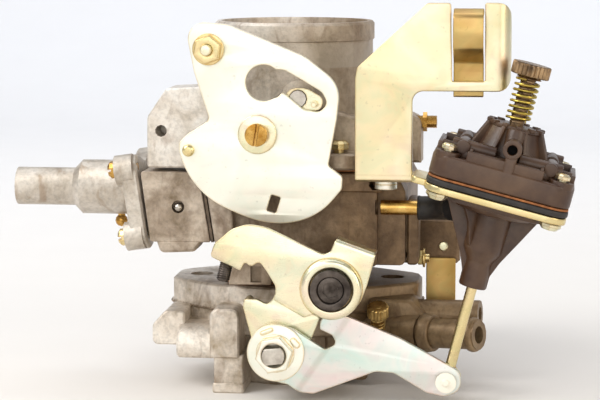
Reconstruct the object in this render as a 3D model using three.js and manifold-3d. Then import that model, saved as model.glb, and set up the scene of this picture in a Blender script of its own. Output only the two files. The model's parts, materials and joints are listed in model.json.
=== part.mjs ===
// Single-barrel downdraft carburetor with choke cam, idle linkage and vacuum throttle positioner.
// Millimetres. X right, Y away from the lever side, Z up. The barrel axis is the local Z axis.
import * as THREE from "three";
import { mergeVertices } from "three/addons/utils/BufferGeometryUtils.js";
import Module from "manifold-3d";

const wasm = await Module();
wasm.setup();

// ---- driving dimensions -------------------------------------------------------------------
const FINENESS = 0.6;                // share of the nominal facet count kept on round pieces
const GAP = 0.3;                     // clearance between neighbouring pieces
const HORN_TOP = 134, HORN_LIP = 7, HORN_R = 30, HORN_NECK_R = 29.4, HORN_BORE = 27.5;
const COVER_Z = 81.6, COVER_T = 6.4; // underside and thickness of the cover flange
const BODY_TOP = 80.2, BODY_FOOT = 39, BARREL_R = 20, VENTURI_R = 14;
const BASE_TOP = 37, THROTTLE_BORE = 17, LOWER_R = 27;
const SHAFT = { x: 0, z: 18.3, r: 4 };          // throttle spindle
const CHOKE = { x: 6, z: 107.7, r: 3 };         // choke spindle
const CAM = { x: -8.1, z: 95.1, y0: -45, y1: -43 };
const IDLE = { x: 20.3, z: 42.3, y0: -62, y1: -60 };
const CENTRE = { x: 0.417, y: 1.75 };            // middle of the whole envelope, moved to the origin
const BRACKET_Y0 = -50, BRACKET_Y1 = -47.5;
const TILT = 14.5 * Math.PI / 180;              // lean of the positioner
const FOOT = { x: 60.6, y: -52, z: 8.7 };       // lower end of the push rod
// Idle mixture screw: foot point and direction, with at(s) a point s along it.
const MIX = { foot: [34.38, -32.3, 19.74], way: [0.035, -0.45, 0.892] };
MIX.at = (s) => v3(...MIX.foot.map((c, i) => c + s * MIX.way[i]));
const SIDE_Y = -12;                             // axis depth of the side spigot

// ---- solids -------------------------------------------------------------------------------
function solid(geometry) {
  geometry.deleteAttribute("normal");
  geometry.deleteAttribute("uv");
  const merged = mergeVertices(geometry, 1e-4);
  const index = [];
  for (let i = 0; i < merged.index.count; i += 3) {
    const [a, b, c] = [0, 1, 2].map((k) => merged.index.getX(i + k));
    if (a !== b && b !== c && c !== a) index.push(a, b, c);
  }
  return new wasm.Manifold(new wasm.Mesh({
    numProp: 3,
    vertProperties: Float32Array.from(merged.attributes.position.array),
    triVerts: Uint32Array.from(index),
  }));
}

function union(first, ...rest) {
  return rest.reduce((sum, item) => sum.add(item), first);
}

function cut(first, ...rest) {
  return rest.reduce((sum, item) => sum.subtract(item), first);
}

const v3 = (x, y, z) => new THREE.Vector3(x, y, z);
const v2 = (x, y) => new THREE.Vector2(x, y);

// Polygon [x, y, corner radius] with every corner of non-zero radius turned into an arc.
function rounded(corners) {
  const out = [], n = corners.length;
  for (let i = 0; i < n; i++) {
    const p = v2(...corners[i]), r = corners[i][2] || 0;
    if (!r) { out.push(p); continue; }
    const a = v2(...corners[(i + n - 1) % n]).sub(p), b = v2(...corners[(i + 1) % n]).sub(p);
    const la = a.length(), lb = b.length();
    a.normalize(); b.normalize();
    const half = Math.acos(Math.min(1, Math.max(-1, a.dot(b)))) / 2;
    const reach = Math.min(r / Math.tan(half), la * 0.49, lb * 0.49), rr = reach * Math.tan(half);
    const centre = p.clone().add(a.clone().add(b).normalize().multiplyScalar(rr / Math.sin(half)));
    const s = p.clone().addScaledVector(a, reach).sub(centre);
    const e = p.clone().addScaledVector(b, reach).sub(centre);
    const a0 = s.angle();
    let turn = e.angle() - a0;
    if (turn > Math.PI) turn -= 2 * Math.PI;
    if (turn < -Math.PI) turn += 2 * Math.PI;
    const steps = Math.max(1, Math.ceil(Math.abs(turn) / 0.6));
    for (let k = 0; k <= steps; k++) {
      const t = a0 + turn * k / steps;
      out.push(v2(centre.x + rr * Math.cos(t), centre.y + rr * Math.sin(t)));
    }
  }
  return out;
}

// Extrusion of a polygon; bevel rounds the rim inward so the outline stays the same size.
function extrude(corners, depth, rim = 0) {
  const bevel = rim && Math.min(rim, ...corners.filter((c) => c[2]).map((c) => 0.6 * c[2]));
  const shape = new THREE.Shape(rounded(corners));
  const g = new THREE.ExtrudeGeometry(shape, bevel
    ? { depth: depth - 2 * bevel, bevelEnabled: true, bevelThickness: bevel, bevelSize: bevel,
        bevelOffset: -bevel, bevelSegments: 1, steps: 1 }
    : { depth, bevelEnabled: false, steps: 1 });
  if (bevel) g.translate(0, 0, bevel);
  return g;
}

// plate: outline in X and Z, thick along Y. slab: outline in X and Y. rib: outline in Y and Z.
function plate(corners, y0, y1, bevel = 0) {
  return solid(extrude(corners, y1 - y0, bevel).rotateX(Math.PI / 2).translate(0, y1, 0));
}
function slab(corners, z0, z1, bevel = 0) {
  return solid(extrude(corners, z1 - z0, bevel).translate(0, 0, z0));
}
function rib(corners, x0, x1, bevel = 0) {
  const turn = new THREE.Matrix4().makeBasis(v3(0, 1, 0), v3(0, 0, 1), v3(1, 0, 0));
  return solid(extrude(corners, x1 - x0, bevel).applyMatrix4(turn).translate(x0, 0, 0));
}

function box(x0, x1, y0, y1, z0, z1) {
  return solid(new THREE.BoxGeometry(x1 - x0, y1 - y0, z1 - z0)
    .translate((x0 + x1) / 2, (y0 + y1) / 2, (z0 + z1) / 2));
}

// Turn of a closed [radius, height] profile about the line from a towards b.
function turned(profile, a, b, segments = 20) {
  const along = b.clone().sub(a).normalize();
  const facets = segments > 8 ? Math.round(segments * FINENESS) : segments;
  const g = new THREE.LatheGeometry(profile.map((p) => v2(...p)), facets);
  g.applyQuaternion(new THREE.Quaternion().setFromUnitVectors(v3(0, 1, 0), along));
  return solid(g.translate(a.x, a.y, a.z));
}
// Cylinder, frustum or prism between two points.
function rod(r, a, b, segments = 16, r2 = r) {
  const h = a.distanceTo(b);
  return turned([[0, 0], [r, 0], [r2, h], [0, h]], a, b, segments);
}
function ring(r, bore, a, b, segments = 20) {
  const h = a.distanceTo(b);
  return turned([[bore, 0], [r, 0], [r, h], [bore, h], [bore, 0]], a, b, segments);
}
const rodX = (r, x0, x1, y, z, n) => rod(r, v3(x0, y, z), v3(x1, y, z), n);
const rodY = (r, x, z, y0, y1, n) => rod(r, v3(x, y0, z), v3(x, y1, z), n);
const rodZ = (r, x, y, z0, z1, n) => rod(r, v3(x, y, z0), v3(x, y, z1), n);

// Screw with a slotted pan head: head from 0 to `head`, shank to `length` along the direction.
function screw(a, along, r, head, shank, length, drive = "slot") {
  const d = along.clone().normalize();
  const profile = [[0, 0], [r * 0.7, 0], [r, head * 0.35], [r, head], [shank, head],
    [shank, length], [0, length]];
  let s = turned(profile, a, a.clone().addScaledVector(d, 1), 16);
  const tool = drive === "slot"
    ? solid(new THREE.BoxGeometry(r * 2.4, head * 1.1, r * 0.3))
    : solid(new THREE.CylinderGeometry(r * 0.55, r * 0.55, head * 1.1, 6));
  const q = new THREE.Quaternion().setFromUnitVectors(v3(0, 1, 0), d);
  const m = new THREE.Matrix4().compose(a, q, v3(1, 1, 1));
  return s.subtract(tool.transform([...m.elements]));
}

// Coil of wire about the line from a to b; ends are closed flat caps.
function coil(radius, wire, a, b, turns, per = 12, sides = 6) {
  const along = b.clone().sub(a), h = along.length();
  class Helix extends THREE.Curve {
    getPoint(t, target = v3(0, 0, 0)) {
      const w = t * turns * 2 * Math.PI;
      return target.set(radius * Math.cos(w), t * h, radius * Math.sin(w));
    }
  }
  const section = new THREE.Shape(Array.from({ length: sides }, (_, i) =>
    v2(wire * Math.cos(2 * Math.PI * i / sides), wire * Math.sin(2 * Math.PI * i / sides))));
  const g = new THREE.ExtrudeGeometry(section, { steps: Math.round(turns * per),
    extrudePath: new Helix(), bevelEnabled: false });
  g.applyQuaternion(new THREE.Quaternion().setFromUnitVectors(v3(0, 1, 0), along.normalize()));
  return solid(g.translate(a.x, a.y, a.z));
}

// ---- the group ----------------------------------------------------------------------------
const group = new THREE.Group();
const COLOURS = {
  cast: "#a89a8b", light: "#c9beae", zinc: "#efe3b4", gold: "#dcc07a", plastic: "#3a3230",
  steel: "#b9b7b0", brass: "#c7973c", rubber: "#2a2624", gasket: "#4a3a2e", dark: "#4b4645",
};
function add(name, manifold, colour) {
  const mesh = manifold.simplify(0.06).getMesh();
  const g = new THREE.BufferGeometry();
  const position = new Float32Array(mesh.numVert * 3);
  for (let i = 0; i < mesh.numVert; i++) {
    for (let k = 0; k < 3; k++) position[3 * i + k] = mesh.vertProperties[i * mesh.numProp + k];
    position[3 * i] -= CENTRE.x;
    position[3 * i + 1] -= CENTRE.y;
  }
  g.setAttribute("position", new THREE.BufferAttribute(position, 3));
  g.setIndex(new THREE.BufferAttribute(Uint32Array.from(mesh.triVerts), 1));
  g.computeVertexNormals();
  const material = new THREE.MeshStandardMaterial({ color: COLOURS[colour], roughness: 0.5 });
  const item = new THREE.Mesh(g, material);
  item.name = name;
  group.add(item);
}

// ---- throttle body ------------------------------------------------------------------------
function throttleBody() {
  const flange = slab([[-46, -8, 9], [-26, -26, 12], [0, -31, 20], [28, -25, 12], [48, -10, 9],
    [48, 12, 9], [24, 29, 14], [0, 33, 20], [-26, 29, 14], [-46, 12, 9]], 18.5, BASE_TOP, 0.8);
  const seam = slab([[-46.5, -8.3, 9], [-26.2, -26.5, 12], [0, -31.5, 20], [28.2, -25.5, 12],
    [48.5, -10.3, 9], [48.5, 12.3, 9], [24, 29.5, 14], [0, 33.5, 20], [-26, 29.5, 14],
    [-46.5, 12.3, 9]], 27.4, 28.4);
  let s = union(flange, seam,
    turned([[0, 0], [LOWER_R - 1, 0], [LOWER_R, 1], [LOWER_R, 20], [0, 20]], v3(0, 0, 0),
      v3(0, 0, 1), 36),
    rodY(9, 0, SHAFT.z, -45.5, -20, 24), rodY(8, 0, SHAFT.z, 20, 38, 24),
    plate([[-49.1, 15.6, 2], [-49.1, 23, 2], [-44.4, 28.2, 2], [-37, 28.2, 1], [-37, 15.6]], -33, -6, 1.2),
    rib([[-38.5, 11.4, 3], [-38.5, 23.6, 6], [-16, 23.6], [-16, 11.4]], -39.4, -25.6, 0.9),
    plate([[-26.2, 12.8, 1], [-15.4, 12.8, 1], [-15.4, 31, 3], [-26.2, 31, 3]], -43, -20, 1.2),
    plate([[-24.8, 0, 0.8], [-14, 0, 0.8], [-14, 14], [-24.8, 14]], -42.2, -22, 0.6),
    plate([[-25.2, 0, 0.8], [-13.6, 0, 0.8], [-13.6, 3.7, 0.8], [-25.2, 3.7, 0.8]], -43.2, -24, 0.6),
    slab([[-27, -10, 4], [27, -10, 4], [30, 24, 8], [-30, 24, 8]], 0, 6, 0.6),
    plate([[30, 9, 2], [49, 12, 2], [52, 26, 3], [46, 33, 3], [30, 33, 2]], -27, -6, 1.2),
    rod(6.6, v3(30, -20, 20), v3(50, -29, 21.3), 20),
    rod(5.5, v3(48, -28, 21.2), v3(71.5, -39.6, 22.9), 20),
    rod(5.4, v3(40, -12, 25.6), v3(71, -17, 26.4), 18),
    plate([[14, 2, 2], [30, 2, 2], [30, 20], [14, 20]], -24, -6, 1),
    rod(4.3, v3(34.1, -29.4, 14), v3(34.5, -34.4, 23.9), 16));
  return cut(s,
    rodZ(THROTTLE_BORE, 0, 0, -1, 40, 40), rodZ(4.5, -36, 2, 10, 40, 18), rodZ(4.5, 37, 2, 10, 40, 18),
    rodY(SHAFT.r + GAP, 0, SHAFT.z, -50, 42, 24),
    rod(3.25, v3(46, -27, 21.1), v3(74, -40.9, 23.1), 16),
    rod(3, v3(46, -13, 25.75), v3(73, -17.3, 26.45), 14),
    rod(2.1, v3(34.3, -31.4, 17.96), v3(34.6, -35.4, 25.88), 14));
}

function throttleGroup() {
  let s = union(rodY(SHAFT.r, 0, SHAFT.z, -66, 49, 24),
    rod(6.6, v3(0, 43.8, SHAFT.z), v3(0, 47.8, SHAFT.z), 6));
  s = cut(s, box(-5, 5, -17.2, 17.2, SHAFT.z - 1.05, SHAFT.z + 1.05));
  s = cut(s, box(-5, 5, -67, -58.5, SHAFT.z + 2.9, SHAFT.z + 5),
    box(-5, 5, -67, -58.5, SHAFT.z - 5, SHAFT.z - 2.9));
  for (const y of [-8, 8]) s = cut(s, rodZ(1.5, 0, y, 10, 26, 12));
  add("throttle_shaft", s, "steel");
  let disc = rodZ(THROTTLE_BORE - GAP, 0, 0, SHAFT.z - 0.75, SHAFT.z + 0.75, 40);
  for (const y of [-8, 8]) {
    disc = disc.add(screw(v3(0, y, SHAFT.z + 5.9), v3(0, 0, -1), 2.2, 1.6, 1.2, 10.4));
  }
  add("throttle_plate", disc, "brass");
  // stop lever next to the casting, with the ear that the fast-idle screw pushes on
  const ear = plate([[-12.4, 33.4, 1], [-12.3, 36.6, 2], [-7.5, 36.6, 3], [-3.5, 34.6, 2],
    [-0.9, 38, 1], [4, 37.5, 1], [15.4, 30.3, 1], [12.4, 23, 2], [9, 12, 2], [-9.6, 12, 3],
    [-9.6, 23, 2]], -53, -51);
  add("throttle_stop_lever", cut(union(ear, rodY(10.3, 0, SHAFT.z, -53, -51, 28),
    plate([[-12.4, 33.4, 1], [-12.3, 36.6, 1.2], [-9.6, 36.9, 1.2], [-9.6, 33.4, 1]], -53, -45)),
    rodY(SHAFT.r + GAP, 0, SHAFT.z, -54, -40, 24)), "zinc");
  add("shaft_washer", cut(ring(10.3, SHAFT.r + GAP, v3(0, -59, SHAFT.z), v3(0, -57.4, SHAFT.z), 28),
    plate([[2.5, 27], [5.5, 25.4], [5, 24.4], [2, 26]], -60, -57)), "zinc");
  const nut = turned([[0, 0], [6.2, 0], [6.8, 0.6], [6.8, 4.2], [6.2, 4.8], [0, 4.8]],
    v3(0, -64.2, SHAFT.z), v3(0, -60, SHAFT.z), 6);
  add("shaft_nut", cut(nut, rodY(SHAFT.r + GAP, 0, SHAFT.z, -66, -58, 24)), "zinc");
  // cable quadrant at the far end of the spindle
  const cable = plate([[-9, 9, 3], [9, 9, 3], [12, 24, 4], [17.5, 33, 3], [12, 38, 3], [-4, 30, 6],
    [-9, 26, 4]], 41, 43.5);
  add("cable_lever", cut(cable, rodY(SHAFT.r + GAP, 0, SHAFT.z, 30, 60, 24),
    rodY(1.6, 12.6, 33, 30, 60, 12)), "zinc");
  add("throttle_return_spring", coil(6.6, 0.75, v3(0, -50.0, SHAFT.z), v3(0, -46.6, SHAFT.z), 2.4, 12, 4),
    "dark");
}

// ---- positioner lever ---------------------------------------------------------------------
function positionerLever() {
  const arm = plate([[4.2, 6.6, 2], [8.5, 3.6, 3], [13.3, 3.2, 3], [35.5, 11.8, 4], [42, 11.4, 3],
    [53.6, 4.6, 4], [60, 3.3, 4], [65.9, 5.5, 5], [65.7, 12.4, 5], [44.2, 24, 4], [24.6, 31.8, 4],
    [16, 31.4, 2.5], [15.6, 26.9, 1], [20.2, 24.8, 1.8], [21.4, 21.2, 1.8], [17.5, 19.6, 1.5],
    [8.3, 25.4, 3], [-3, 27.6, 6], [-9.5, 20, 6], [-7, 11, 6]], -57, -55);
  add("positioner_lever", cut(union(arm, rodY(10.2, 0, SHAFT.z, -57, -55, 28)),
    rodY(SHAFT.r + GAP, 0, SHAFT.z, -60, -50, 24), rodY(2.3, FOOT.x, FOOT.z, -60, -50, 16)), "zinc");
  add("positioner_pin", turned([[0, 0], [1.1, 0], [1.4, 0.7], [3.7, 0.7], [3.7, 1.6], [2, 1.6], [2, 3.9],
    [1.2, 3.9], [1.2, 8.6], [0, 8.6]], v3(FOOT.x, -58.9, FOOT.z), v3(FOOT.x, 0, FOOT.z), 18), "light");
}

// ---- fast-idle lever ----------------------------------------------------------------------
function fastIdle() {
  const { x, z, y0, y1 } = IDLE;
  const blade = plate([[-22.2, 54, 2], [-20.6, 58.4, 4], [-15.2, 63, 6], [-9.5, 64.8, 6],
    [-2.8, 63.8, 6], [17.4, 54.4, 2], [19.8, 55.4, 1], [21.9, 60.2, 1.5], [36, 55.2, 1],
    [33, 44, 2], [30, 36, 9], [20.3, 30.8, 10], [11.5, 33.6, 3], [0.5, 39.8, 1.5], [0.4, 43, 3],
    [-2.6, 48, 4], [-5.2, 51.6, 1.5], [-8.4, 49.6, 1.5], [-10.4, 51.8, 1], [-20.5, 56.3, 1]], y0, y1);
  const foot = plate([[-22.4, 55.4, 0.5], [-22.2, 53.2, 0.5], [-12.1, 48.4, 0.5], [-10.6, 50.7, 0.5],
    [-20.6, 56.6, 0.5]], y0, -51.5);
  const flange = plate([[0.4, 41.6], [0.6, 39.6, 0.5], [11, 34.4, 0.5], [12.2, 36.2]], y0, -55);
  const tab = plate([[21.4, 58.6], [22.2, 60.4, 0.6], [36.2, 55.4, 0.6], [35.6, 53.6, 0.5]], y0, -53);
  const tip = v3(-19.3, -56.3, 43.6), top = v3(-16.3, -56.3, 56);
  let s = union(blade, foot, flange, tab, ring(10.9, 7.5, v3(x, -64.6, z), v3(x, y1, z), 36));
  const dir = top.clone().sub(tip);
  const head = tip.clone().addScaledVector(dir, 1.02);
  s = cut(s, rodY(6.3, x, z, -66, -59, 28), rod(2.2, tip, head, 14));
  add("fast_idle_lever", s, "zinc");
  add("fast_idle_screw", union(rod(1.8, tip, head, 14),
    rod(2.9, head, head.clone().addScaledVector(dir, 0.2), 6)), "dark");
  add("fast_idle_bolt", cut(union(rodY(7.2, x, z, -66.4, -63.2, 28), rodY(5.9, x, z, -63.2, -60.2, 24),
    rodY(3.6, x, z, -60.2, -40, 16)), rodY(4.7, x, z, -68, -64.8, 24), rodY(2.6, x, z, -65, -62, 6)), "dark");
}

// ---- main body ----------------------------------------------------------------------------
function mainBody() {
  let s = union(
    plate([[-29.4, BODY_TOP, 0.5], [-25.2, 54.4, 1], [-22, 46, 3], [33.8, 45.4, 2],
      [33.8, BODY_TOP, 0.5]], -30, 48, 0.8),
    plate([[30, 45.6, 2], [43.7, 45.6, 2], [43.7, 73, 1.5], [40, BODY_TOP, 0.5], [30, BODY_TOP]],
      -26, 44, 0.8),
    plate([[44.3, 45.6, 1], [48.5, 45.6, 1.5], [48.5, 70, 1.5], [44.3, 70, 1]], -24.5, -12, 0.8),
    plate([[42, 50], [46, 50], [46, 66], [42, 66]], -22, -14),
    slab([[-20, -30, 3], [26, -26, 3], [28, 24, 8], [-24, 24, 8]], BODY_FOOT, 48, 0.8),
    plate([[-20, BODY_FOOT, 0.5], [-4.5, BODY_FOOT, 0.5], [-3, 48, 1], [-20, 48, 1]], -36.5, -24, 0.8),
    plate([[-29.3, BODY_TOP], [-28.2, 73, 1], [36, 73, 1], [36, BODY_TOP]], -32, 50, 0.6),
    rodY(7.5, IDLE.x, IDLE.z + 2.5, -57, -23.5, 24),
    rodX(8, 40, 62.4, 6, 51, 20), plate([[40, 43, 2], [62.5, 43, 2], [62.5, 60, 2], [40, 60, 2]], -2.8, 12, 1),
    plate([[-20, 48, 2], [30, 48, 2], [30, 74, 2], [-20, 74, 2]], 46, 54, 1));
  const bore = [[0, -1], [THROTTLE_BORE, -1], [THROTTLE_BORE, 8], [VENTURI_R, 24], [VENTURI_R, 28],
    [BARREL_R, 36], [BARREL_R, 45], [0, 45]];
  return cut(s, turned(bore, v3(0, 0, BODY_FOOT), v3(0, 0, 90), 40),
    slab([[-18, 24, 3], [38, 24, 3], [38, 42.5, 3], [-18, 42.5, 3]], 50, 90),
    rodY(3.9, IDLE.x, IDLE.z, -60, -39, 16),
    rodY(1.9, 56.5, 49.7, -5, 16, 14), box(62.6, 80, -10, 30, 40, 70),
    rodX(2.95, 33, 44, -29.2, 67.4, 16),
    plate([[-12, 40], [-8, 40], [-8, 46], [-12, 46]], -38, -34),
    rodY(5.3, 22, 58, 50, 60, 20), rodY(2.3, 33, 76, -36, -20, 12));
}

function boosterVenturi() {
  const s = turned([[4.2, 69], [6.4, 67.5], [7.6, 73], [7, 79], [5.2, 81], [4.2, 75], [4.2, 69]],
    v3(0, 0, 0), v3(0, 0, 1), 24);
  return union(s, plate([[6, 73], [19.5, 76.4], [19.5, 79.8], [6, 78]], -2.5, 2.5, 0.6));
}

// ---- cover with the air horn --------------------------------------------------------------
function airHornCover() {
  const z0 = COVER_Z, z1 = COVER_Z + COVER_T;
  let s = union(
    slab([[-30, -32, 3], [36, -32, 3], [44, -22, 4], [44, 44, 5], [32, 52, 5], [-24, 52, 6],
      [-30, 44, 5]], z0, z1, 0.8),
    turned([[0, 0], [HORN_NECK_R + 1, 0], [HORN_NECK_R, 4], [HORN_NECK_R, HORN_TOP - HORN_LIP - z0],
      [HORN_R, HORN_TOP - HORN_LIP + 0.4 - z0], [HORN_R, HORN_TOP - 1 - z0], [HORN_R - 0.8, HORN_TOP - z0],
      [0, HORN_TOP - z0]], v3(0, 0, z0), v3(0, 0, 200), 48),
    rodY(7, CAM.x, CAM.z, CAM.y1 + GAP, -20, 24), rodY(6.5, CHOKE.x, CHOKE.z, -38, -20, 24),
    rodY(6.5, CHOKE.x, CHOKE.z, 20, 34, 20),
    plate([[-50, 81.6, 1], [-49.9, 100.1, 2], [-42.8, 110.6, 2], [-30.7, 111.2, 1], [-24, 111, 1],
      [-24, 81.6]], -36, -18, 1),
    slab([[29, -46, 2], [46, -46, 2], [46, -20], [29, -20]], z0, 87, 0.8),
    slab([[12, -38, 4], [27, -38, 4], [27, -20], [12, -20]], z0, 87.6, 0.8),
    plate([[30, 82], [48.4, 82], [48.4, 98, 3], [42, 101, 3], [30, 101, 3]], -12, 3, 1),
    plate([[10, 84], [27, 84], [26, 100, 2], [12, 104, 2]], -29.2, -20, 1),
    box(-2, 1.6, 36.6, 42.2, 72, 84), box(16.4, 20, 36.6, 42.2, 72, 84));
  return cut(s, rodZ(HORN_BORE, 0, 0, 82.8, 140, 48), rodZ(BARREL_R, 0, 0, 80, 90, 40),
    rodY(2.5, CAM.x, CAM.z, -50, -30, 16), rodY(CHOKE.r + GAP, CHOKE.x, CHOKE.z, -45, 40, 20),
    rodY(2.2, -44.8, 95.1, -37, -24, 16), rodX(2.6, 42.6, 50, -5, 96.7, 16),
    rodZ(2.1, 37.5, -38, 80, 92, 14), rodZ(2.1, 20.1, -33.5, 80, 92, 14),
    rodZ(2.1, -25, 44, 80, 92, 14), rodZ(2.1, 37, 40, 80, 92, 14), rodZ(4.3, 9, 35.5, 80, 92, 16),
    rodZ(2.1, -44, -24, 80, 88, 12), rodX(1.2, -3, 21, 39.5, 75.2, 12));
}

function chokeGroup() {
  let s = rodY(CHOKE.r, CHOKE.x, CHOKE.z, -42, 36, 20);
  const open = 47 * Math.PI / 180, c = Math.cos(open), q = Math.sin(open);
  const tilt = (m) => m.rotate([0, -open * 180 / Math.PI, 0]).translate([CHOKE.x, 0, CHOKE.z]);
  s = cut(s, tilt(box(-5, 5, -27.8, 27.8, -0.95, 0.95)));
  for (const y of [-12, 12]) s = cut(s, tilt(rodZ(1.5, 0, y, -6, 6, 12)));
  add("choke_shaft", s, "steel");
  let disc = rodZ(HORN_BORE - 0.6, -CHOKE.x, 0, -0.65, 0.65, 40);
  for (const y of [-12, 12]) disc = disc.add(screw(v3(0, y, 4.7), v3(0, 0, -1), 2.1, 1.4, 1.2, 8.6));
  add("choke_plate", tilt(disc), "brass");
  const lever = plate([[1.5, 104, 4], [1.5, 111.5, 4], [9, 111.5, 4], [15.2, 108, 2.6], [14.4, 103.4, 2.6],
    [8, 103.6, 3]], -41.3, -39.6);
  add("choke_lever", union(cut(lever, rodY(CHOKE.r + GAP, CHOKE.x, CHOKE.z, -44, -38, 20)),
    rodY(1.05, 12.2, 105.9, -46.2, -40, 14)), "steel");
}

// ---- choke cam ----------------------------------------------------------------------------
function camOutline() {
  const pts = [[-34.6, 135.4, 9], [-19, 134.4, 9], [9, 123, 12], [21.6, 113, 11], [20.4, 101, 6],
    [17.3, 84, 1.5], [22.6, 80, 1.8], [22.2, 75.6, 2]].map((p) => [...p]);
  for (let k = 0; k <= 12; k++) {           // fast-idle profile: the radius falls along the sweep
    const deg = -42 - 106 * k / 12, t = Math.min(1, Math.max(0, (deg + 150) / 110));
    const r = 25.4 + 10.4 * t * t * (3 - 2 * t), a = deg * Math.PI / 180;
    pts.push([CAM.x + r * Math.cos(a), CAM.z + r * Math.sin(a)]);
  }
  pts.push([-35.6, 89.4, 2], [-37, 93, 2.5], [-33.5, 96, 2], [-25.4, 100, 2.5], [-27.4, 106, 6],
    [-31, 117, 8]);
  return pts.reverse();
}

function chokeCam() {
  const slot = union(rodY(6.5, -5.9, 113.5, -50, -40, 24),
    plate([[-2, 111.8, 1], [-4, 118.6, 2], [1, 118.6, 3], [7.6, 114.8, 3], [15, 110.4, 3.4],
      [17.2, 106.4, 3.4], [14.4, 103.2, 3.2], [9.4, 104.6, 3], [3.4, 109, 3]], -50, -40));
  const at = (x, z, profile, y, n) => turned(profile, v3(x, y, z), v3(x, 0, z), n);
  const rivet = at(-33.2, 89, [[0, 0], [1.4, 0.1], [2.1, 1], [2.1, 4.3], [0, 5]], -46.7, 14);
  const s = cut(plate(camOutline(), CAM.y0, CAM.y1).add(rivet), slot,
    rodY(3.2, CAM.x, CAM.z, -50, -40, 18), rodY(2.3, -25.7, 125.4, -50, -40, 16),
    plate([[-5, 67.6, 0.6], [-3.2, 73.4, 0.6], [0.2, 72.4, 0.6], [-1.6, 66.6, 0.6]], -50, -40));
  add("choke_cam", s, "zinc");
  add("cam_cable_stud", at(-25.7, 125.4, [[0, 0], [2, 0], [2, 10], [3.6, 10], [3.6, 12.4], [0, 12.4]],
    -52.7, 18), "steel");
  add("cam_cable_nut", cut(union(at(-25.7, 125.4, [[0, 0], [4.4, 0], [5.2, 0.7], [5.2, 3.8], [0, 3.8]],
    -50, 6), at(-25.7, 125.4, [[0, 0], [5.6, 0], [5.6, 1], [0, 1]], -46.4, 20)),
    rodY(2.4, -25.7, 125.4, -52, -44, 16)), "gold");
  add("cam_pivot_washer", at(CAM.x, CAM.z, [[2.5, 0], [6.6, 0], [7, 0.4], [7, 1], [2.5, 1], [2.5, 0]],
    -46.4, 24), "gold");
  add("cam_pivot_screw", screw(v3(CAM.x, -49.6, CAM.z), v3(0, 1, 0), 4.1, 2.9, 2.2, 17), "brass");
}

// ---- cable bracket ------------------------------------------------------------------------
function cableBracket() {
  const face = plate([[27.4, 78.9, 1], [47.7, 78.9, 1], [47.6, 111, 4], [76.5, 111.6, 6], [82, 115.6, 3],
    [82, 139.6, 4], [75, 142.5, 2], [72.9, 142.5, 0.8], [73.1, 114.9, 0.6], [61.5, 114.9, 0.6],
    [61, 142.4, 1], [52.8, 142.4, 2], [28, 119.6, 3], [27.3, 115.5, 2]], BRACKET_Y0, BRACKET_Y1);
  const foot = slab([[27.4, -50], [47.7, -50], [47.7, -33, 2], [27.4, -33, 2]], 78.9, 81.3);
  const lip = rib([[-50, 117], [-50, 140, 1], [-38, 136, 3], [-38, 121, 3]], 79.8, 81.9);
  add("cable_bracket", cut(union(face, foot, lip), rodZ(2.1, 37.5, -38, 76, 84, 14)), "gold");
  const strap = rib([[-45, 139, 1.4], [-47, 139.4, 1.4], [-53.2, 136, 3], [-53.6, 128, 3], [-47.2, 122.4, 3],
    [-46.9, 118], [-46.9, 113.6], [-45.5, 113.6], [-45.5, 118], [-45.8, 123.4, 3], [-51.8, 128.8, 3],
    [-51.6, 135, 3], [-46.8, 137.6, 1], [-45, 137.4, 1]], 62, 72.4);
  const tongue = rib([[-46.9, 116.4], [-45.5, 116.4], [-45.5, 113.6], [-46.9, 113.6]], 63.5, 71);
  add("cable_clamp", union(strap, tongue), "gold");
  add("bracket_screw", screw(v3(37.5, -38, 75.2), v3(0, 0, 1), 4, 3.2, 1.8, 11.6, "hex"), "zinc");
}

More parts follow.
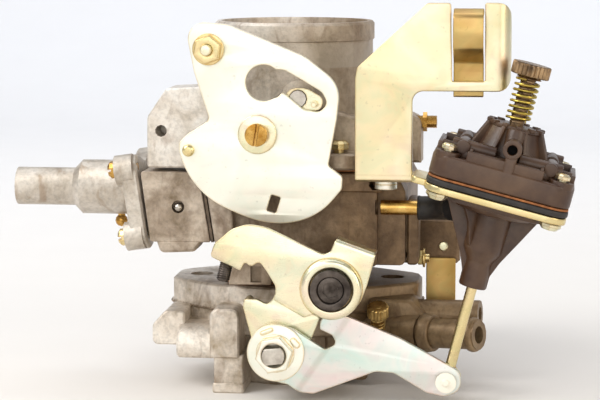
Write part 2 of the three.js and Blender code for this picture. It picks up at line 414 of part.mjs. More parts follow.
// ---- vacuum positioner, built upright and then leaned over --------------------------------
function positioner() {
  const lean = (m) => m.rotate([0, TILT * 180 / Math.PI, 0]).translate([FOOT.x, FOOT.y, FOOT.z]);
  const pad = (h, r, z0, z1, bevel = 0) => slab([[-h, -h, r], [h, -h, r], [h, h, r], [-h, h, r]], z0, z1, bevel);
  const corners = [[-20, -20], [20, -20], [20, 20], [-20, 20]];
  const drill = (m, r, z0, z1) => corners.reduce((s, [x, y]) => cut(s, rodZ(r, x, y, z0, z1, 12)), m);
  let base = union(pad(25, 7, 66.9, 69.3),
    slab([[-30.2, -14, 2], [-22, -14], [-22, 8], [-30.2, 8, 2]], 66.9, 69.3));
  base = cut(drill(base, 1.9, 60, 72), rodZ(15.2, 0, 0, 60, 72, 32));
  add("positioner_plate", lean(base), "zinc");
  add("positioner_diaphragm_rim", lean(cut(drill(pad(25, 7, 69.6, 71.6, 0.3), 1.9, 60, 80),
    rodZ(18, 0, 0, 60, 80, 32))), "rubber");
  add("positioner_gasket", lean(cut(drill(pad(24.6, 7, 71.9, 72.4), 1.9, 60, 80),
    rodZ(18, 0, 0, 60, 80, 32))), "gasket");
  let top = union(pad(25, 7, 72.7, 80.4, 1.2), pad(19, 6, 79, 84, 1.2),
    turned([[0, 78], [14.5, 78], [13.6, 84], [12, 93.6], [11, 94.8], [0, 94.8]], v3(0, 0, 0), v3(0, 0, 1), 28),
    rod(4.6, v3(1, -21, 85), v3(1, -8, 85), 18), rod(3.2, v3(1, -26.5, 85), v3(1, -20, 85), 16),
    box(-1.5, 3.5, -22, -10, 79, 85));
  for (const a of [0, 60, 120, 180, 240, 300]) {
    top = union(top, box(-1, 1, 8, 22, 79, 88).rotate([0, 0, a + 30]));
  }
  for (const [x, y] of corners) top = union(top, rodZ(4.2, x, y, 76, 82, 16));
  top = cut(drill(top, 1.9, 60, 90), rodZ(16.5, 0, 0, 70, 82, 28), rodZ(5.4, 0, 0, 81, 92, 20),
    rodZ(2.7, 0, 0, 90, 100, 18), rod(1.6, v3(1, -28, 85), v3(1, -14, 85), 12),
    rod(1.6, v3(1, -14, 80), v3(1, -14, 86.4), 12));
  add("positioner_upper_housing", lean(top), "plastic");
  let low = union(turned([[0, 35], [5, 35], [5.2, 41], [7.4, 47], [11.4, 54], [14.5, 61], [14.5, 70], [0, 70]],
    v3(0, 0, 0), v3(0, 0, 1), 24), pad(17, 5, 62.6, 66.6, 0.8));
  for (const a of [0, 90]) {
    low = union(low, plate([[-16.4, 63], [-12, 54.6], [-7, 45.6], [-4, 36], [4, 36], [7, 45.6], [12, 54.6],
      [16.4, 63]], -1.1, 1.1).rotate([0, 0, a]));
  }
  const well = [[0, 30], [2.5, 30], [2.5, 46], [5, 50], [12.2, 62], [13, 66], [13, 71], [0, 71]];
  low = cut(low, turned(well, v3(0, 0, 0), v3(0, 0, 1), 24),
    rod(2.4, v3(-26, 11, 62.2), v3(-6, 11, 62.2), 12));
  add("positioner_lower_housing", lean(low), "plastic");
  for (const [i, [x, y]] of corners.entries()) {
    const dome = turned([[0, 0], [2.6, 0.4], [3.9, 1.7], [3.9, 2.6], [0, 2.6]], v3(x, y, 64),
      v3(x, y, 90), 14);
    add(`positioner_screw_${i + 1}`, lean(dome.add(screw(v3(x, y, 84.1), v3(0, 0, -1), 2.7, 1.8, 1.6, 18,
      "hex"))), "steel");
  }
  // moving rod with eye and diaphragm cup
  let push = union(rodZ(1.9, 0, 0, 4.2, 73, 16), rodZ(8.6, 0, 0, 72.4, 73.8, 20),
    plate([[-4.6, -3.2, 2.6], [4.6, -3.2, 2.6], [4.6, 3.2, 2.6], [1.9, 5.4, 1], [-1.9, 5.4, 1],
      [-4.6, 3.2, 2.6]], -1.2, 1.2));
  push = cut(push, plate([[-3, -1.6, 1.5], [3, -1.6, 1.5], [3, 1.6, 1.5], [-3, 1.6, 1.5]], -2, 2));
  add("push_rod", lean(push), "gold");
  // adjuster
  let knob = turned([[0, 112], [6, 112], [6.9, 113], [6.9, 115.6], [6.2, 116.6], [0, 116.6]], v3(0, 0, 0),
    v3(0, 0, 1), 28);
  for (let k = 0; k < 12; k++) {
    knob = cut(knob, rodZ(0.7, 7.3, 0, 111, 118, 5).rotate([0, 0, k * 30]));
  }
  add("adjuster_knob", lean(union(knob, rodZ(2.3, 0, 0, 84.5, 113, 16))), "dark");
  add("adjuster_spring", lean(coil(3.5, 0.5, v3(0, 0, 95.6), v3(0, 0, 111.2), 7.5, 8, 4)), "gold");
}

// ---- side housing and spigot --------------------------------------------------------------
function sideHousing() {
  let s = union(plate([[-52.6, 80.2, 1], [-49.1, 54.3, 1], [-26.9, 54.4, 0.5], [-31, 80.2, 0.5]], -36, 12, 1.2),
    plate([[-47, 55], [-45.4, 50.2, 2], [-32.6, 50.8, 2], [-30, 55]], -36, -22, 1));
  s = cut(s, rodY(2.4, -38.7, 67.3, -37, -32.6, 16), rodX(9, -60, -34, SIDE_Y, 67.5, 24),
    rodX(1.9, -60, -44, -31, 58, 12));
  add("side_housing", s, "cast");
  add("check_ball", solid(new THREE.SphereGeometry(1.7, 12, 8).translate(-38.7, -34.7, 67)), "steel");
  add("side_gasket", plate([[-30.7, 80.2], [-26.6, 54.4], [-25.7, 54.4], [-29.8, 80.2]], -35.6, 11.6), "gasket");
  const lean = (m) => m.translate([52, 0, -67.5]).rotate([0, -8.5, 0]).translate([-52, 0, 67.5]);
  let cover = union(
    lean(rib([[-34, 55, 4], [-28, 50.4, 4], [-12, 54, 6], [4, 50.4, 4], [11, 56, 4], [11, 82, 4], [4, 86, 4],
      [-12, 82, 6], [-28, 86.5, 4], [-34, 80, 4]], -58.6, -52.4, 0.8)),
    lean(rodX(5.4, -60.8, -54, -30, 56.4, 20)), lean(rodX(5.8, -60.8, -54, -29.5, 80.8, 20)),
    turned([[0, 0], [7.1, 0], [7.1, 22], [10.2, 25], [10.2, 42], [11.4, 49.5], [0, 49.5]],
      v3(-103.8, SIDE_Y, 71.6), v3(0, SIDE_Y, 71.6), 28));
  cover = cut(cover, rodX(5.2, -110, -56, SIDE_Y, 71.6, 24), lean(rodX(9, -56, -45, SIDE_Y, 67.5, 24)),
    lean(rodX(1.9, -66, -45, -30, 56.4, 12)), lean(rodX(1.9, -66, -45, -29.5, 81.5, 12)),
    rodZ(1.7, -64.4, SIDE_Y, 58, 63.4, 12));
  add("spigot_cover", cover, "light");
  for (const [i, [y, z]] of [[-30, 56.4], [-29.5, 81.5]].entries()) {
    add(`spigot_screw_${i + 1}`, lean(screw(v3(-63.6, y, z), v3(1, 0, 0), 3.2, 2.6, 1.6, 11)), "zinc");
  }
  add("spigot_plug", union(solid(new THREE.SphereGeometry(2.4, 12, 8).translate(-64.4, SIDE_Y, 58.9)),
    rodZ(1.4, -64.4, SIDE_Y, 59, 63, 12)), "brass");
}

// ---- small pieces on the right and inside --------------------------------------------------
function fittings() {
  // the tube runs from the body into the sleeve, and the sleeve on to the positioner's side port
  const end = v3(56.5, -40.8, 67.4);
  add("vacuum_tube", cut(rodX(2.7, 35, 50, -29.2, 67.4, 18), rodX(1.8, 34, 51, -29.2, 67.4, 14)), "brass");
  class Bend extends THREE.Curve {
    getPoint(t, target = v3(0, 0, 0)) {
      return target.set(46 + 13.5 * t, -29.2 - 11 * t * t * (1.6 - 0.6 * t), 67.4 + 1.5 * t * t);
    }
  }
  const circle = (r) => new THREE.Shape(Array.from({ length: 18 }, (_, i) =>
    v2(r * Math.cos(i * Math.PI / 9), r * Math.sin(i * Math.PI / 9))));
  const swept = (r) => solid(new THREE.ExtrudeGeometry(circle(r), { steps: 8, extrudePath: new Bend(),
    bevelEnabled: false }));
  add("rubber_sleeve", cut(swept(4.3), rodX(3.0, 45, 50.3, -29.2, 67.4, 18)), "rubber");
  add("idle_mixture_screw", union(rod(1.7, MIX.at(0), MIX.at(10), 14), rod(3.4, MIX.at(9.6), MIX.at(14), 18)),
    "brass");
  add("fuel_nipple", cut(union(rodX(2.3, 43, 53.8, -5, 96.7, 16), rodX(3.6, 48.7, 50.2, -5, 96.7, 6)),
    rodX(1.3, 45, 55, -5, 96.7, 12)), "brass");
  add("cover_screw", screw(v3(20.1, -33.5, 92), v3(0, 0, -1), 3.6, 3, 1.8, 10), "zinc");
  const g = slab([[-30, -31.6, 3], [36, -31.6, 3], [43.6, -22, 4], [43.6, 43.6, 5], [32, 49.6, 5],
    [-24, 49.6, 6], [-29.4, 43.6, 5]], BODY_TOP + 0.35, COVER_Z - 0.35);
  add("cover_gasket", cut(g, rodZ(BARREL_R, 0, 0, 70, 90, 40),
    slab([[-18, 24, 3], [38, 24, 3], [38, 42.5, 3], [-18, 42.5, 3]], 70, 90)), "gasket");
  add("insulator", cut(slab([[-24, -24, 8], [24, -22, 8], [26, 24, 8], [-24, 24, 8]], BASE_TOP + GAP,
    BODY_FOOT - GAP), rodZ(THROTTLE_BORE, 0, 0, 30, 50, 40)), "gasket");
  // strap and nut of the rear lug
  add("rear_strap", plate([[50.2, 27.4, 1], [61.2, 27.4, 1], [61.2, 45.6, 1], [50.2, 45.6, 1]], -5.2, -3.5),
    "gold");
  // float, pin, needle valve
  const float = union(slab([[-14, 26.5, 3], [34, 26.5, 3], [34, 38.5, 3], [-14, 38.5, 3]], 54, 70, 1),
    rib([[30, 69], [42, 72.4, 1], [42, 77.2, 1], [37.8, 77.2, 1], [36.6, 74.4, 1], [30, 71.4]], 4, 14));
  add("float", cut(float, rodX(1.3, 0, 20, 39.5, 75.2, 12)), "dark");
  add("float_pin", rodX(0.9, -1.6, 19.6, 39.5, 75.2, 12), "steel");
  add("needle_seat", cut(union(rodZ(3.9, 9, 35.5, 78, 89, 16), rodZ(5.2, 9, 35.5, 88.4, 92, 6)),
    rodZ(1.5, 9, 35.5, 70, 86, 12)), "brass");
  add("needle_valve", union(rodZ(1.1, 9, 35.5, 75.2, 82.1, 12),
    rod(1.1, v3(9, 35.5, 82), v3(9, 35.5, 84.5), 12, 0.2)), "steel");
  // accelerator pump cover and idle cut-off solenoid at the back
  add("pump_cover", rib([[54.4, 50, 3], [60, 52, 2], [62, 60, 3], [60, 70, 2], [54.4, 72, 3]], -16, 6, 1),
    "light");
  add("idle_cutoff_valve", union(rodY(4.9, 22, 58, 51, 56, 20), rodY(8, 22, 58, 54.4, 60, 6),
    rodY(7.4, 22, 58, 59.5, 76, 28), rodY(1.6, 22, 58, 75.5, 82, 10)), "steel");
}

add("throttle_body", throttleBody(), "light");
throttleGroup();
positionerLever();
fastIdle();
add("main_body", mainBody(), "cast");
add("booster_venturi", boosterVenturi(), "cast");
add("air_horn_cover", airHornCover(), "cast");
chokeGroup();
chokeCam();
cableBracket();
positioner();
sideHousing();
fittings();

export default group;
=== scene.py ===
import json
import math

import bmesh
import bpy
import numpy as np
from mathutils import Matrix, Vector

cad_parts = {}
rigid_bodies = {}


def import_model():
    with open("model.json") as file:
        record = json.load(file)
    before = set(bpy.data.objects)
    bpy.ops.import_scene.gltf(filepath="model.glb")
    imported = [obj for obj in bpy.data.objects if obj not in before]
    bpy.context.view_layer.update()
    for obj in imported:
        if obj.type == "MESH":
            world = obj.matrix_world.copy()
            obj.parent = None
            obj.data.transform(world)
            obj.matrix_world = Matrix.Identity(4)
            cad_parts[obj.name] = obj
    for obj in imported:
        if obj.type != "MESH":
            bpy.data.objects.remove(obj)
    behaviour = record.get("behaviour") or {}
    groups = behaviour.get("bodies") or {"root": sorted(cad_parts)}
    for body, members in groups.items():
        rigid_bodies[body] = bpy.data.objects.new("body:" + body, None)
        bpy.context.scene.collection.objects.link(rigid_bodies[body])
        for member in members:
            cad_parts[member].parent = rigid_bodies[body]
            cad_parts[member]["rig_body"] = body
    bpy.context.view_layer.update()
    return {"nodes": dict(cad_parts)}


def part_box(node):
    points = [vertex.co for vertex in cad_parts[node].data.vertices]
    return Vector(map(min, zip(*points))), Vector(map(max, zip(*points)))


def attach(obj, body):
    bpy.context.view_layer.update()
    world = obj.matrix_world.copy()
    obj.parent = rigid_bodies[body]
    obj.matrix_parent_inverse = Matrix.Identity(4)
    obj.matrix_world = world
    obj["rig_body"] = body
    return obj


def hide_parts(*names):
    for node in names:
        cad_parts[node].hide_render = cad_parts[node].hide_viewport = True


bl_info = {
    "name": "Downdraft carburettor",
    "version": (1, 0, 0),
    "blender": (4, 5, 0),
    "location": "View3D > Sidebar > Carburettor",
    "description": "Builds the visible pieces of a single-barrel carburettor around its packed frame",
    "category": "Object",
}

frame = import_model()

MM = 0.001
# The barrel axis on the base plane: every size below is in millimetres from it.
_low, _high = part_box("throttle_plate")
BARREL = np.array([(_low.x + _high.x) / 2, (_low.y + _high.y) / 2, 0.0])

SHAFT = (0.0, 18.3)          # throttle spindle, X and Z
CAM = (-8.1, 95.1)           # pivot of the choke cam
STUD = (-25.7, 125.4)        # cable stud on the choke cam
IDLE = (20.3, 42.3)          # pivot of the fast-idle lever
FOOT = (60.6, -52.0, 8.7)    # lower end of the push rod
TILT = math.radians(14.5)    # lean of the positioner
LEAN = Matrix.Translation(FOOT) @ Matrix.Rotation(TILT, 4, "Y")
EYE = Vector((101.06, -843.97, 170.63))       # camera
LOOK_DOWN, LOOK_LEFT = 7.017, 6.7             # its tilt and turn in degrees
FACE_ON = Matrix(((1, 0, 0, 0), (0, 0, -1, 0), (0, 1, 0, 0), (0, 0, 0, 1)))   # sheet XY to XZ
SIDE_ON = Matrix(((0, 0, 1, 0), (1, 0, 0, 0), (0, 1, 0, 0), (0, 0, 0, 1)))    # sheet XY to YZ


# ---- shapes: every function gives (points in millimetres, faces) -------------------------------

def grid_faces(rows, columns, wrap_rows=False, wrap_columns=False):
    """Quads between neighbouring points of a rows by columns grid, closed round where it wraps."""
    r = np.arange(rows if wrap_rows else rows - 1)
    c = np.arange(columns if wrap_columns else columns - 1)
    r, c = np.meshgrid(r, c, indexing="ij")
    r1, c1 = (r + 1) % rows, (c + 1) % columns
    quads = np.stack([r * columns + c, r * columns + c1, r1 * columns + c1, r1 * columns + c], -1)
    return quads.reshape(-1, 4).tolist()


def turned(corners, soft, base, along, sides=56, steps=3):
    """Point = base + height * axis + radius * (cos a * u + sin a * v), over the closed profile of
    corners (radius, height), each softened over the given reach."""
    axis = Vector(along).normalized()
    u = axis.orthogonal().normalized()
    v = axis.cross(u)
    p = soft_profile(corners, soft, steps)
    a = np.arange(sides) * 2 * np.pi / sides
    circle = np.cos(a)[:, None] * np.array(u) + np.sin(a)[:, None] * np.array(v)
    points = (np.asarray(base, float) + p[None, :, 1, None] * np.array(axis)
              + p[None, :, 0, None] * circle[:, None, :])
    return points.reshape(-1, 3), grid_faces(sides, len(p), True, True)


def soft_profile(corners, radius=0.3, steps=3):
    """Profile whose corners off the axis are rounded by a quadratic arc of the given reach."""
    out, p = [], [np.array(c[:2], float) for c in corners]
    for i, q in enumerate(p):
        a, b = p[i - 1] - q, p[(i + 1) % len(p)] - q
        la, lb = np.linalg.norm(a), np.linalg.norm(b)
        reach = min(radius, la * 0.45, lb * 0.45)
        if q[0] < 1e-6 or reach < 1e-6:
            out.append(q)
            continue
        s, e = q + a / la * reach, q + b / lb * reach
        for t in np.linspace(0, 1, steps + 1):
            out.append((1 - t) ** 2 * s + 2 * t * (1 - t) * q + t ** 2 * e)
    return np.array(out)


def disc(radius, height, base, along, sides=40, soft=0.3):
    """Round slab that stands on its base, with softened rims."""
    return turned([(0, 0), (radius, 0), (radius, height), (0, height)], soft, base, along, sides)


def rod(radius, a, b, sides=40, end=0.3):
    """Straight round bar from a to b with softened ends."""
    along = np.subtract(b, a)
    return disc(radius, float(np.linalg.norm(along)), a, along, sides, end)


def swept(path, radius, sides=16):
    """Tube: at each path point a circle in the plane across the path; the ends are drawn to a point."""
    p = np.asarray(path, float)
    t = np.gradient(p, axis=0)
    t /= np.linalg.norm(t, axis=1)[:, None]
    guide = np.array([0.0, 0.0, 1.0]) if abs(t[0, 2]) < 0.9 else np.array([1.0, 0.0, 0.0])
    n = np.empty_like(t)
    for i in range(len(t)):                    # frame carried along without twist
        guide = guide - t[i] * (guide @ t[i])
        guide /= np.linalg.norm(guide)
        n[i] = guide
    b = np.cross(t, n)
    r = np.broadcast_to(np.asarray(radius, float), len(p)).copy()
    p, n, b = (np.concatenate([q[:1], q, q[-1:]]) for q in (p, n, b))
    r = np.concatenate([[0], r, [0]])
    a = np.arange(sides) * 2 * np.pi / sides
    ring = np.cos(a)[None, :, None] * n[:, None] + np.sin(a)[None, :, None] * b[:, None]
    points = p[:, None] + r[:, None, None] * ring
    return points.reshape(-1, 3), grid_faces(len(p), sides, False, True)


def helix(radius, wire, a, b, turns, per_turn=28, sides=10, start=0.0):
    """Coil: point = a + t * (b - a) + radius * circle(turns * t), with a round wire about it."""
    t = np.linspace(0, 1, int(turns * per_turn))
    axis = Vector(np.subtract(b, a)).normalized()
    u = axis.orthogonal().normalized()
    v = axis.cross(u)
    w = start + 2 * np.pi * turns * t
    path = (np.asarray(a, float) + t[:, None] * np.subtract(b, a)
            + (radius * np.cos(w))[:, None] * np.array(u) + (radius * np.sin(w))[:, None] * np.array(v))
    return swept(path, wire, sides)


def rounded(corners, step=0.12):
    """Outline of points (x, y, radius) with every corner turned into an arc of that radius."""
    out, n = [], len(corners)
    for i, c in enumerate(corners):
        q, r = np.array(c[:2], float), (c[2] if len(c) > 2 else 0)
        if not r:
            out.append(q)
            continue
        a = np.array(corners[i - 1][:2], float) - q
        b = np.array(corners[(i + 1) % n][:2], float) - q
        la, lb = np.linalg.norm(a), np.linalg.norm(b)
        a, b = a / la, b / lb
        half = math.acos(max(-1, min(1, float(a @ b)))) / 2
        reach = min(r / math.tan(half), la * 0.49, lb * 0.49)
        rr = reach * math.tan(half)
        middle = q + (a + b) / np.linalg.norm(a + b) * rr / math.sin(half)
        s, e = q + a * reach - middle, q + b * reach - middle
        a0 = math.atan2(s[1], s[0])
        turn = (math.atan2(e[1], e[0]) - a0 + math.pi) % (2 * math.pi) - math.pi
        w = a0 + turn * np.linspace(0, 1, max(2, math.ceil(abs(turn) / step)))
        out.extend(middle + rr * np.stack([np.cos(w), np.sin(w)], 1))
    return np.array(out)


def circle(radius, x=0.0, y=0.0, sides=48, phase=0.0):
    """Round outline about (x, y)."""
    a = phase + np.arange(sides) * 2 * np.pi / sides
    return np.stack([x + radius * np.cos(a), y + radius * np.sin(a)], 1)


def square(half, r):
    """Square outline about the origin with rounded corners."""
    return rounded([(-half, -half, r), (half, -half, r), (half, half, r), (-half, half, r)])


def taken(mesh):
    """The points and faces of a working mesh, which is removed."""
    points = np.empty(len(mesh.vertices) * 3)
    mesh.vertices.foreach_get("co", points)
    faces = [list(f.vertices) for f in mesh.polygons]
    bpy.data.meshes.remove(mesh)
    return points.reshape(-1, 3), faces


def sheet(outlines, low, high, rim=0.25, place=FACE_ON, rim_steps=2):
    """Flat blank: the outlines, holes among them, between heights low and high, with rounded rims.

    The blank lies in its own XY plane and `place` carries it to the object. FACE_ON makes the height
    run along -Y, so low and high are then -Y values; the fill with holes is a filled flat curve."""
    curve = bpy.data.curves.new("blank", "CURVE")
    curve.dimensions = "2D"
    curve.fill_mode = "BOTH"
    for line in outlines:
        spline = curve.splines.new("POLY")
        spline.points.add(len(line) - 1)
        co = np.zeros((len(line), 4), np.float32)
        co[:, :2] = line
        spline.points.foreach_set("co", co.ravel())
        spline.use_cyclic_u = True
    curve.extrude = (high - low) / 2 - rim
    curve.bevel_depth = rim
    curve.bevel_resolution = rim_steps
    curve.offset = -rim
    holder = bpy.data.objects.new("blank", curve)
    bpy.context.scene.collection.objects.link(holder)
    depsgraph = bpy.context.evaluated_depsgraph_get()
    mesh = bpy.data.meshes.new_from_object(holder.evaluated_get(depsgraph))
    bpy.data.objects.remove(holder)
    bpy.data.curves.remove(curve)
    points, faces = taken(mesh)
    points[:, 2] += (low + high) / 2
    return carried((points, faces), place)


def carried(shape, matrix):
    """The shape moved by a matrix."""
    points, faces = shape
    m = np.array(matrix)
    return points @ m[:3, :3].T + m[:3, 3], faces


def joined(*shapes):
    """Several shapes as one list of points and faces."""
    points, faces, start = [], [], 0
    for p, f in shapes:
        points.append(p)
        faces.extend([[i + start for i in face] for face in f])
        start += len(p)
    return np.concatenate(points), faces


def face_plate(outlines, front, back, rim=0.25):
    """Blank in XZ from y = front to y = back, front being the smaller."""
    return sheet(outlines, -back, -front, rim, FACE_ON)


def slotted_head(radius, height, slot, depth, base, along, turn=0.3, dome=0.35):
    """Pan head with a driver slot: a disc, and on it two half moons either side of the slot."""
    axis = Vector(along).normalized()
    lower = disc(radius, height - depth, base, along, 40, 0.15)
    a = np.linspace(math.asin(slot / 2 / radius), math.pi - math.asin(slot / 2 / radius), 22)
    moon = np.stack([radius * np.cos(a), radius * np.sin(a)], 1)
    spin = Matrix.Rotation(turn, 4, "Z")
    up = Vector((0, 0, 1)).rotation_difference(axis).to_matrix().to_4x4()
    place = Matrix.Translation(base) @ up @ spin
    halves = [sheet([moon * (1, s)], height - depth - 0.05, height, min(dome, depth * 0.45), place, 3)
              for s in (1, -1)]
    return joined(lower, *halves)


def socket_head(radius, height, socket, base, along, sides=6):
    """Round head with a sunk socket: a disc under a ring that has a polygon hole."""
    depth = height * 0.6
    lower = disc(radius, height - depth, base, along, 48, 0.2)
    up = Vector((0, 0, 1)).rotation_difference(Vector(along).normalized()).to_matrix().to_4x4()
    place = Matrix.Translation(base) @ up
    ring = sheet([circle(radius, sides=56), circle(socket, sides=sides)], height - depth - 0.05, height,
                 0.3, place)
    return joined(lower, ring)


def reshaped(shape, planes, normal, move):
    """The shape cut along parallel planes (points on them in `planes`), then carried by move(x, y, z),
    which takes whole arrays and gives them back."""
    points, faces = shape
    mesh = bpy.data.meshes.new("blank")
    mesh.from_pydata(points.tolist(), [], [f for f in faces if len(set(f)) > 2])
    work = bmesh.new()
    work.from_mesh(mesh)
    for co in planes:
        geometry = work.verts[:] + work.edges[:] + work.faces[:]
        bmesh.ops.bisect_plane(work, geom=geometry, plane_co=co, plane_no=normal)
    work.to_mesh(mesh)
    work.free()
    points, faces = taken(mesh)
    return np.stack(move(*points.T), 1), faces


def rolled(shape, start, outward, reach, left=-99, right=99, top=99):
    """Past a line in XZ the sheet rolls back, between left and right and under top: y grows by
    r - sqrt(r * r - d * d) at distance d."""
    aim = Vector((outward[0], 0, outward[1])).normalized()
    line = Vector((start[0], 0, start[1]))
    r = reach * 1.04

    def move(x, y, z):
        d = (x - line.x) * aim.x + (z - line.z) * aim.z
        back = r - np.sqrt(r * r - np.clip(d, 0, reach) ** 2)
        return x, y + np.where((d > 0) & (x > left) & (x < right) & (z < top), back, 0), z

    return reshaped(shape, [line + aim * (reach * k / 7) for k in range(7)], aim, move)


def joggled(shape, depth=1.3, run=3.0):
    """The arm stands back from the hub: across a slanted line the sheet steps by `depth` over `run`."""
    aim = Vector((17.0, 0, -11.5)).normalized()
    line = Vector((10.6, 0, 11.5))

    def move(x, y, z):
        t = np.clip(((x - line.x) * aim.x + (z - line.z) * aim.z) / run, 0, 1)
        return x, y + depth * t * t * (3 - 2 * t), z

    return reshaped(shape, [line + aim * (run * k / 4) for k in range(5)], aim, move)


def folded(shape, start=76.5, front=-50.0, outer=5.5, bend=4.25):
    """Beyond x = start the sheet runs round a quarter circle of mean radius `bend`, then straight back."""
    def move(x, y, z):
        run = np.maximum(x - start, 0)
        a = np.minimum(run / bend, np.pi / 2)
        r = outer - (y - front)
        back = front + outer - r * np.cos(a) + np.maximum(run - bend * np.pi / 2, 0)
        return np.where(run > 0, start + r * np.sin(a), x), np.where(run > 0, back, y), z

    return reshaped(shape, [(start + 0.75 * k, 0, 0) for k in range(10)], (1, 0, 0), move)


def half_round(radius, cut, side):
    """Circle segment on one side of a slot: the arc above height `cut`, mirrored for side -1."""
    a = np.linspace(math.asin(cut / radius), math.pi - math.asin(cut / radius), 18)
    return np.stack([radius * np.cos(a), side * radius * np.sin(a)], 1)


# ---- materials ----------------------------------------------------------------------------------

BLEND = {"data_type": "RGBA"}                               # a Mix of colours: inputs 0, 6 and 7, output 2
DARKEN = {"data_type": "RGBA", "blend_type": "MULTIPLY"}
TIMES = {"operation": "MULTIPLY"}


def linear(code):
    """sRGB hex to linear RGBA: c / 12.92 below 0.04045, else ((c + 0.055) / 1.055) ** 2.4."""
    c = np.array([int(code[i:i + 2], 16) for i in (1, 3, 5)]) / 255
    c = np.where(c < 0.04045, c / 12.92, ((c + 0.055) / 1.055) ** 2.4)
    return (*c.tolist(), 1.0)


def node(tree, kind, out=0, settings=None, stops=(), **inputs):
    """Adds a node with its settings, its ramp stops (position, hex or grey) and its inputs, and gives one
    output. An input takes a value or another node's output; _6 means the input numbered 6."""
    n = tree.nodes.new("ShaderNode" + kind)
    for key, value in (settings or {}).items():
        setattr(n, key, value)
    if stops:
        band = n.color_ramp
        while len(band.elements) < len(stops):
            band.elements.new(0.5)
        for e, (place, tone) in zip(band.elements, stops):
            e.position = place
            e.color = linear(tone) if isinstance(tone, str) else (tone, tone, tone, 1.0)
    for key, value in inputs.items():
        socket = n.inputs[int(key[1:]) if key[0] == "_" else key.replace("_", " ")]
        if isinstance(value, bpy.types.NodeSocket):
            tree.links.new(value, socket)
        else:
            socket.default_value = value
    return n.outputs[out]


def blank_material(name, metallic, roughness, **sockets):
    """Principled material with its plain values on the shader's own sockets."""
    m = bpy.data.materials.new(name)
    m.use_nodes = True
    shader = m.node_tree.nodes["Principled BSDF"]
    shader.inputs["Metallic"].default_value = metallic
    shader.inputs["Roughness"].default_value = roughness
    for key, value in sockets.items():
        shader.inputs[key.replace("_", " ")].default_value = value
    return m, m.node_tree, shader


def cells(size_mm):
    """Scale of a noise whose cells are about size_mm across."""
    return 1 / (size_mm * MM)


def near_edge(tree, reach_mm):
    """1 along convex and concave edges: how far the normal turns once it is averaged over the reach."""
    soft = node(tree, "Bevel", 0, {"samples": 4}, Radius=reach_mm * MM)
    plain = node(tree, "NewGeometry", "Normal")
    same = node(tree, "VectorMath", "Value", {"operation": "DOT_PRODUCT"}, _0=soft, _1=plain)
    turn = node(tree, "Math", 0, {"operation": "SUBTRACT"}, _0=1.0, _1=same)
    return node(tree, "ValToRGB", stops=[(0.004, 0.0), (0.1, 1.0)], Fac=turn)


def die_casting(name, light, middle, dark, stain, roughness=0.42, band=None, tan=0.7, brown="#B39B7A"):
    """Die-cast zinc alloy, tumbled and aged: cloudy brown-grey oxide over dull metal, small pits, rust
    stains, and neutral highlights. Painted shade: by the share `tan` the colour darkens towards `brown`
    from the hose side on the left to the right side, away from the key light. band = (low, high) in mm
    is a darker turned ring in height."""
    m, tree, shader = blank_material(name, 0.5, roughness, Specular_IOR_Level=0.7)
    at = node(tree, "TexCoord", "Object")
    cloud = node(tree, "TexNoise", Vector=at, Scale=cells(12), Detail=6, Roughness=0.62, Distortion=0.4)
    base = node(tree, "ValToRGB", stops=[(0.3, dark), (0.47, middle), (0.66, light)], Fac=cloud)
    fine = node(tree, "TexNoise", Vector=at, Scale=cells(1.7), Detail=4, Roughness=0.65)
    grime = node(tree, "ValToRGB", stops=[(0.32, 0.6), (0.56, 1.0)], Fac=fine)
    base = node(tree, "Mix", 2, DARKEN, _0=0.6, _6=base, _7=grime)
    streak = node(tree, "Mapping", Vector=at, Scale=(1.0, 1.0, 0.3))
    blot = node(tree, "TexNoise", Vector=streak, Scale=cells(7), Detail=4, Roughness=0.6, Distortion=1.4)
    blot = node(tree, "ValToRGB", stops=[(0.55, 0.0), (0.7, 1.0)], Fac=blot)
    share = node(tree, "Math", 0, TIMES, _0=blot, _1=0.5)
    base = node(tree, "Mix", 2, BLEND, _0=share, _6=base, _7=linear(stain))
    # painted shade: the casting darkens and browns from left to right, away from the key light
    across = node(tree, "SeparateXYZ", 0, Vector=at)
    right_side_shade = node(tree, "MapRange", Value=across, From_Min=-26 * MM, From_Max=22 * MM)
    share = node(tree, "Math", 0, TIMES, _0=right_side_shade, _1=tan)
    base = node(tree, "Mix", 2, DARKEN, _0=share, _6=base, _7=linear(brown))
    if band:
        height = node(tree, "SeparateXYZ", 2, Vector=at)
        ring = node(tree, "MapRange", Value=height, From_Min=band[0] * MM, From_Max=band[1] * MM)
        ring = node(tree, "ValToRGB", stops=[(0.0, 0.0), (0.04, 1.0), (0.9, 0.75), (1.0, 0.0)], Fac=ring)
        share = node(tree, "Math", 0, TIMES, _0=ring, _1=0.62)
        base = node(tree, "Mix", 2, BLEND, _0=share, _6=base, _7=linear(dark))
    tree.links.new(base, shader.inputs["Base Color"])
    gloss = node(tree, "MapRange", Value=fine, To_Min=roughness - 0.1, To_Max=roughness + 0.2)
    tree.links.new(gloss, shader.inputs["Roughness"])
    skin = node(tree, "TexNoise", Vector=at, Scale=cells(0.8), Detail=4, Roughness=0.65)
    skin = node(tree, "Bump", Height=skin, Distance=0.16 * MM, Strength=0.55)
    pits = node(tree, "TexNoise", Vector=at, Scale=cells(4.5), Detail=4, Roughness=0.6)
    pits = node(tree, "Bump", Height=pits, Distance=0.6 * MM, Strength=0.35, Normal=skin)
    tree.links.new(pits, shader.inputs["Normal"])
    return m


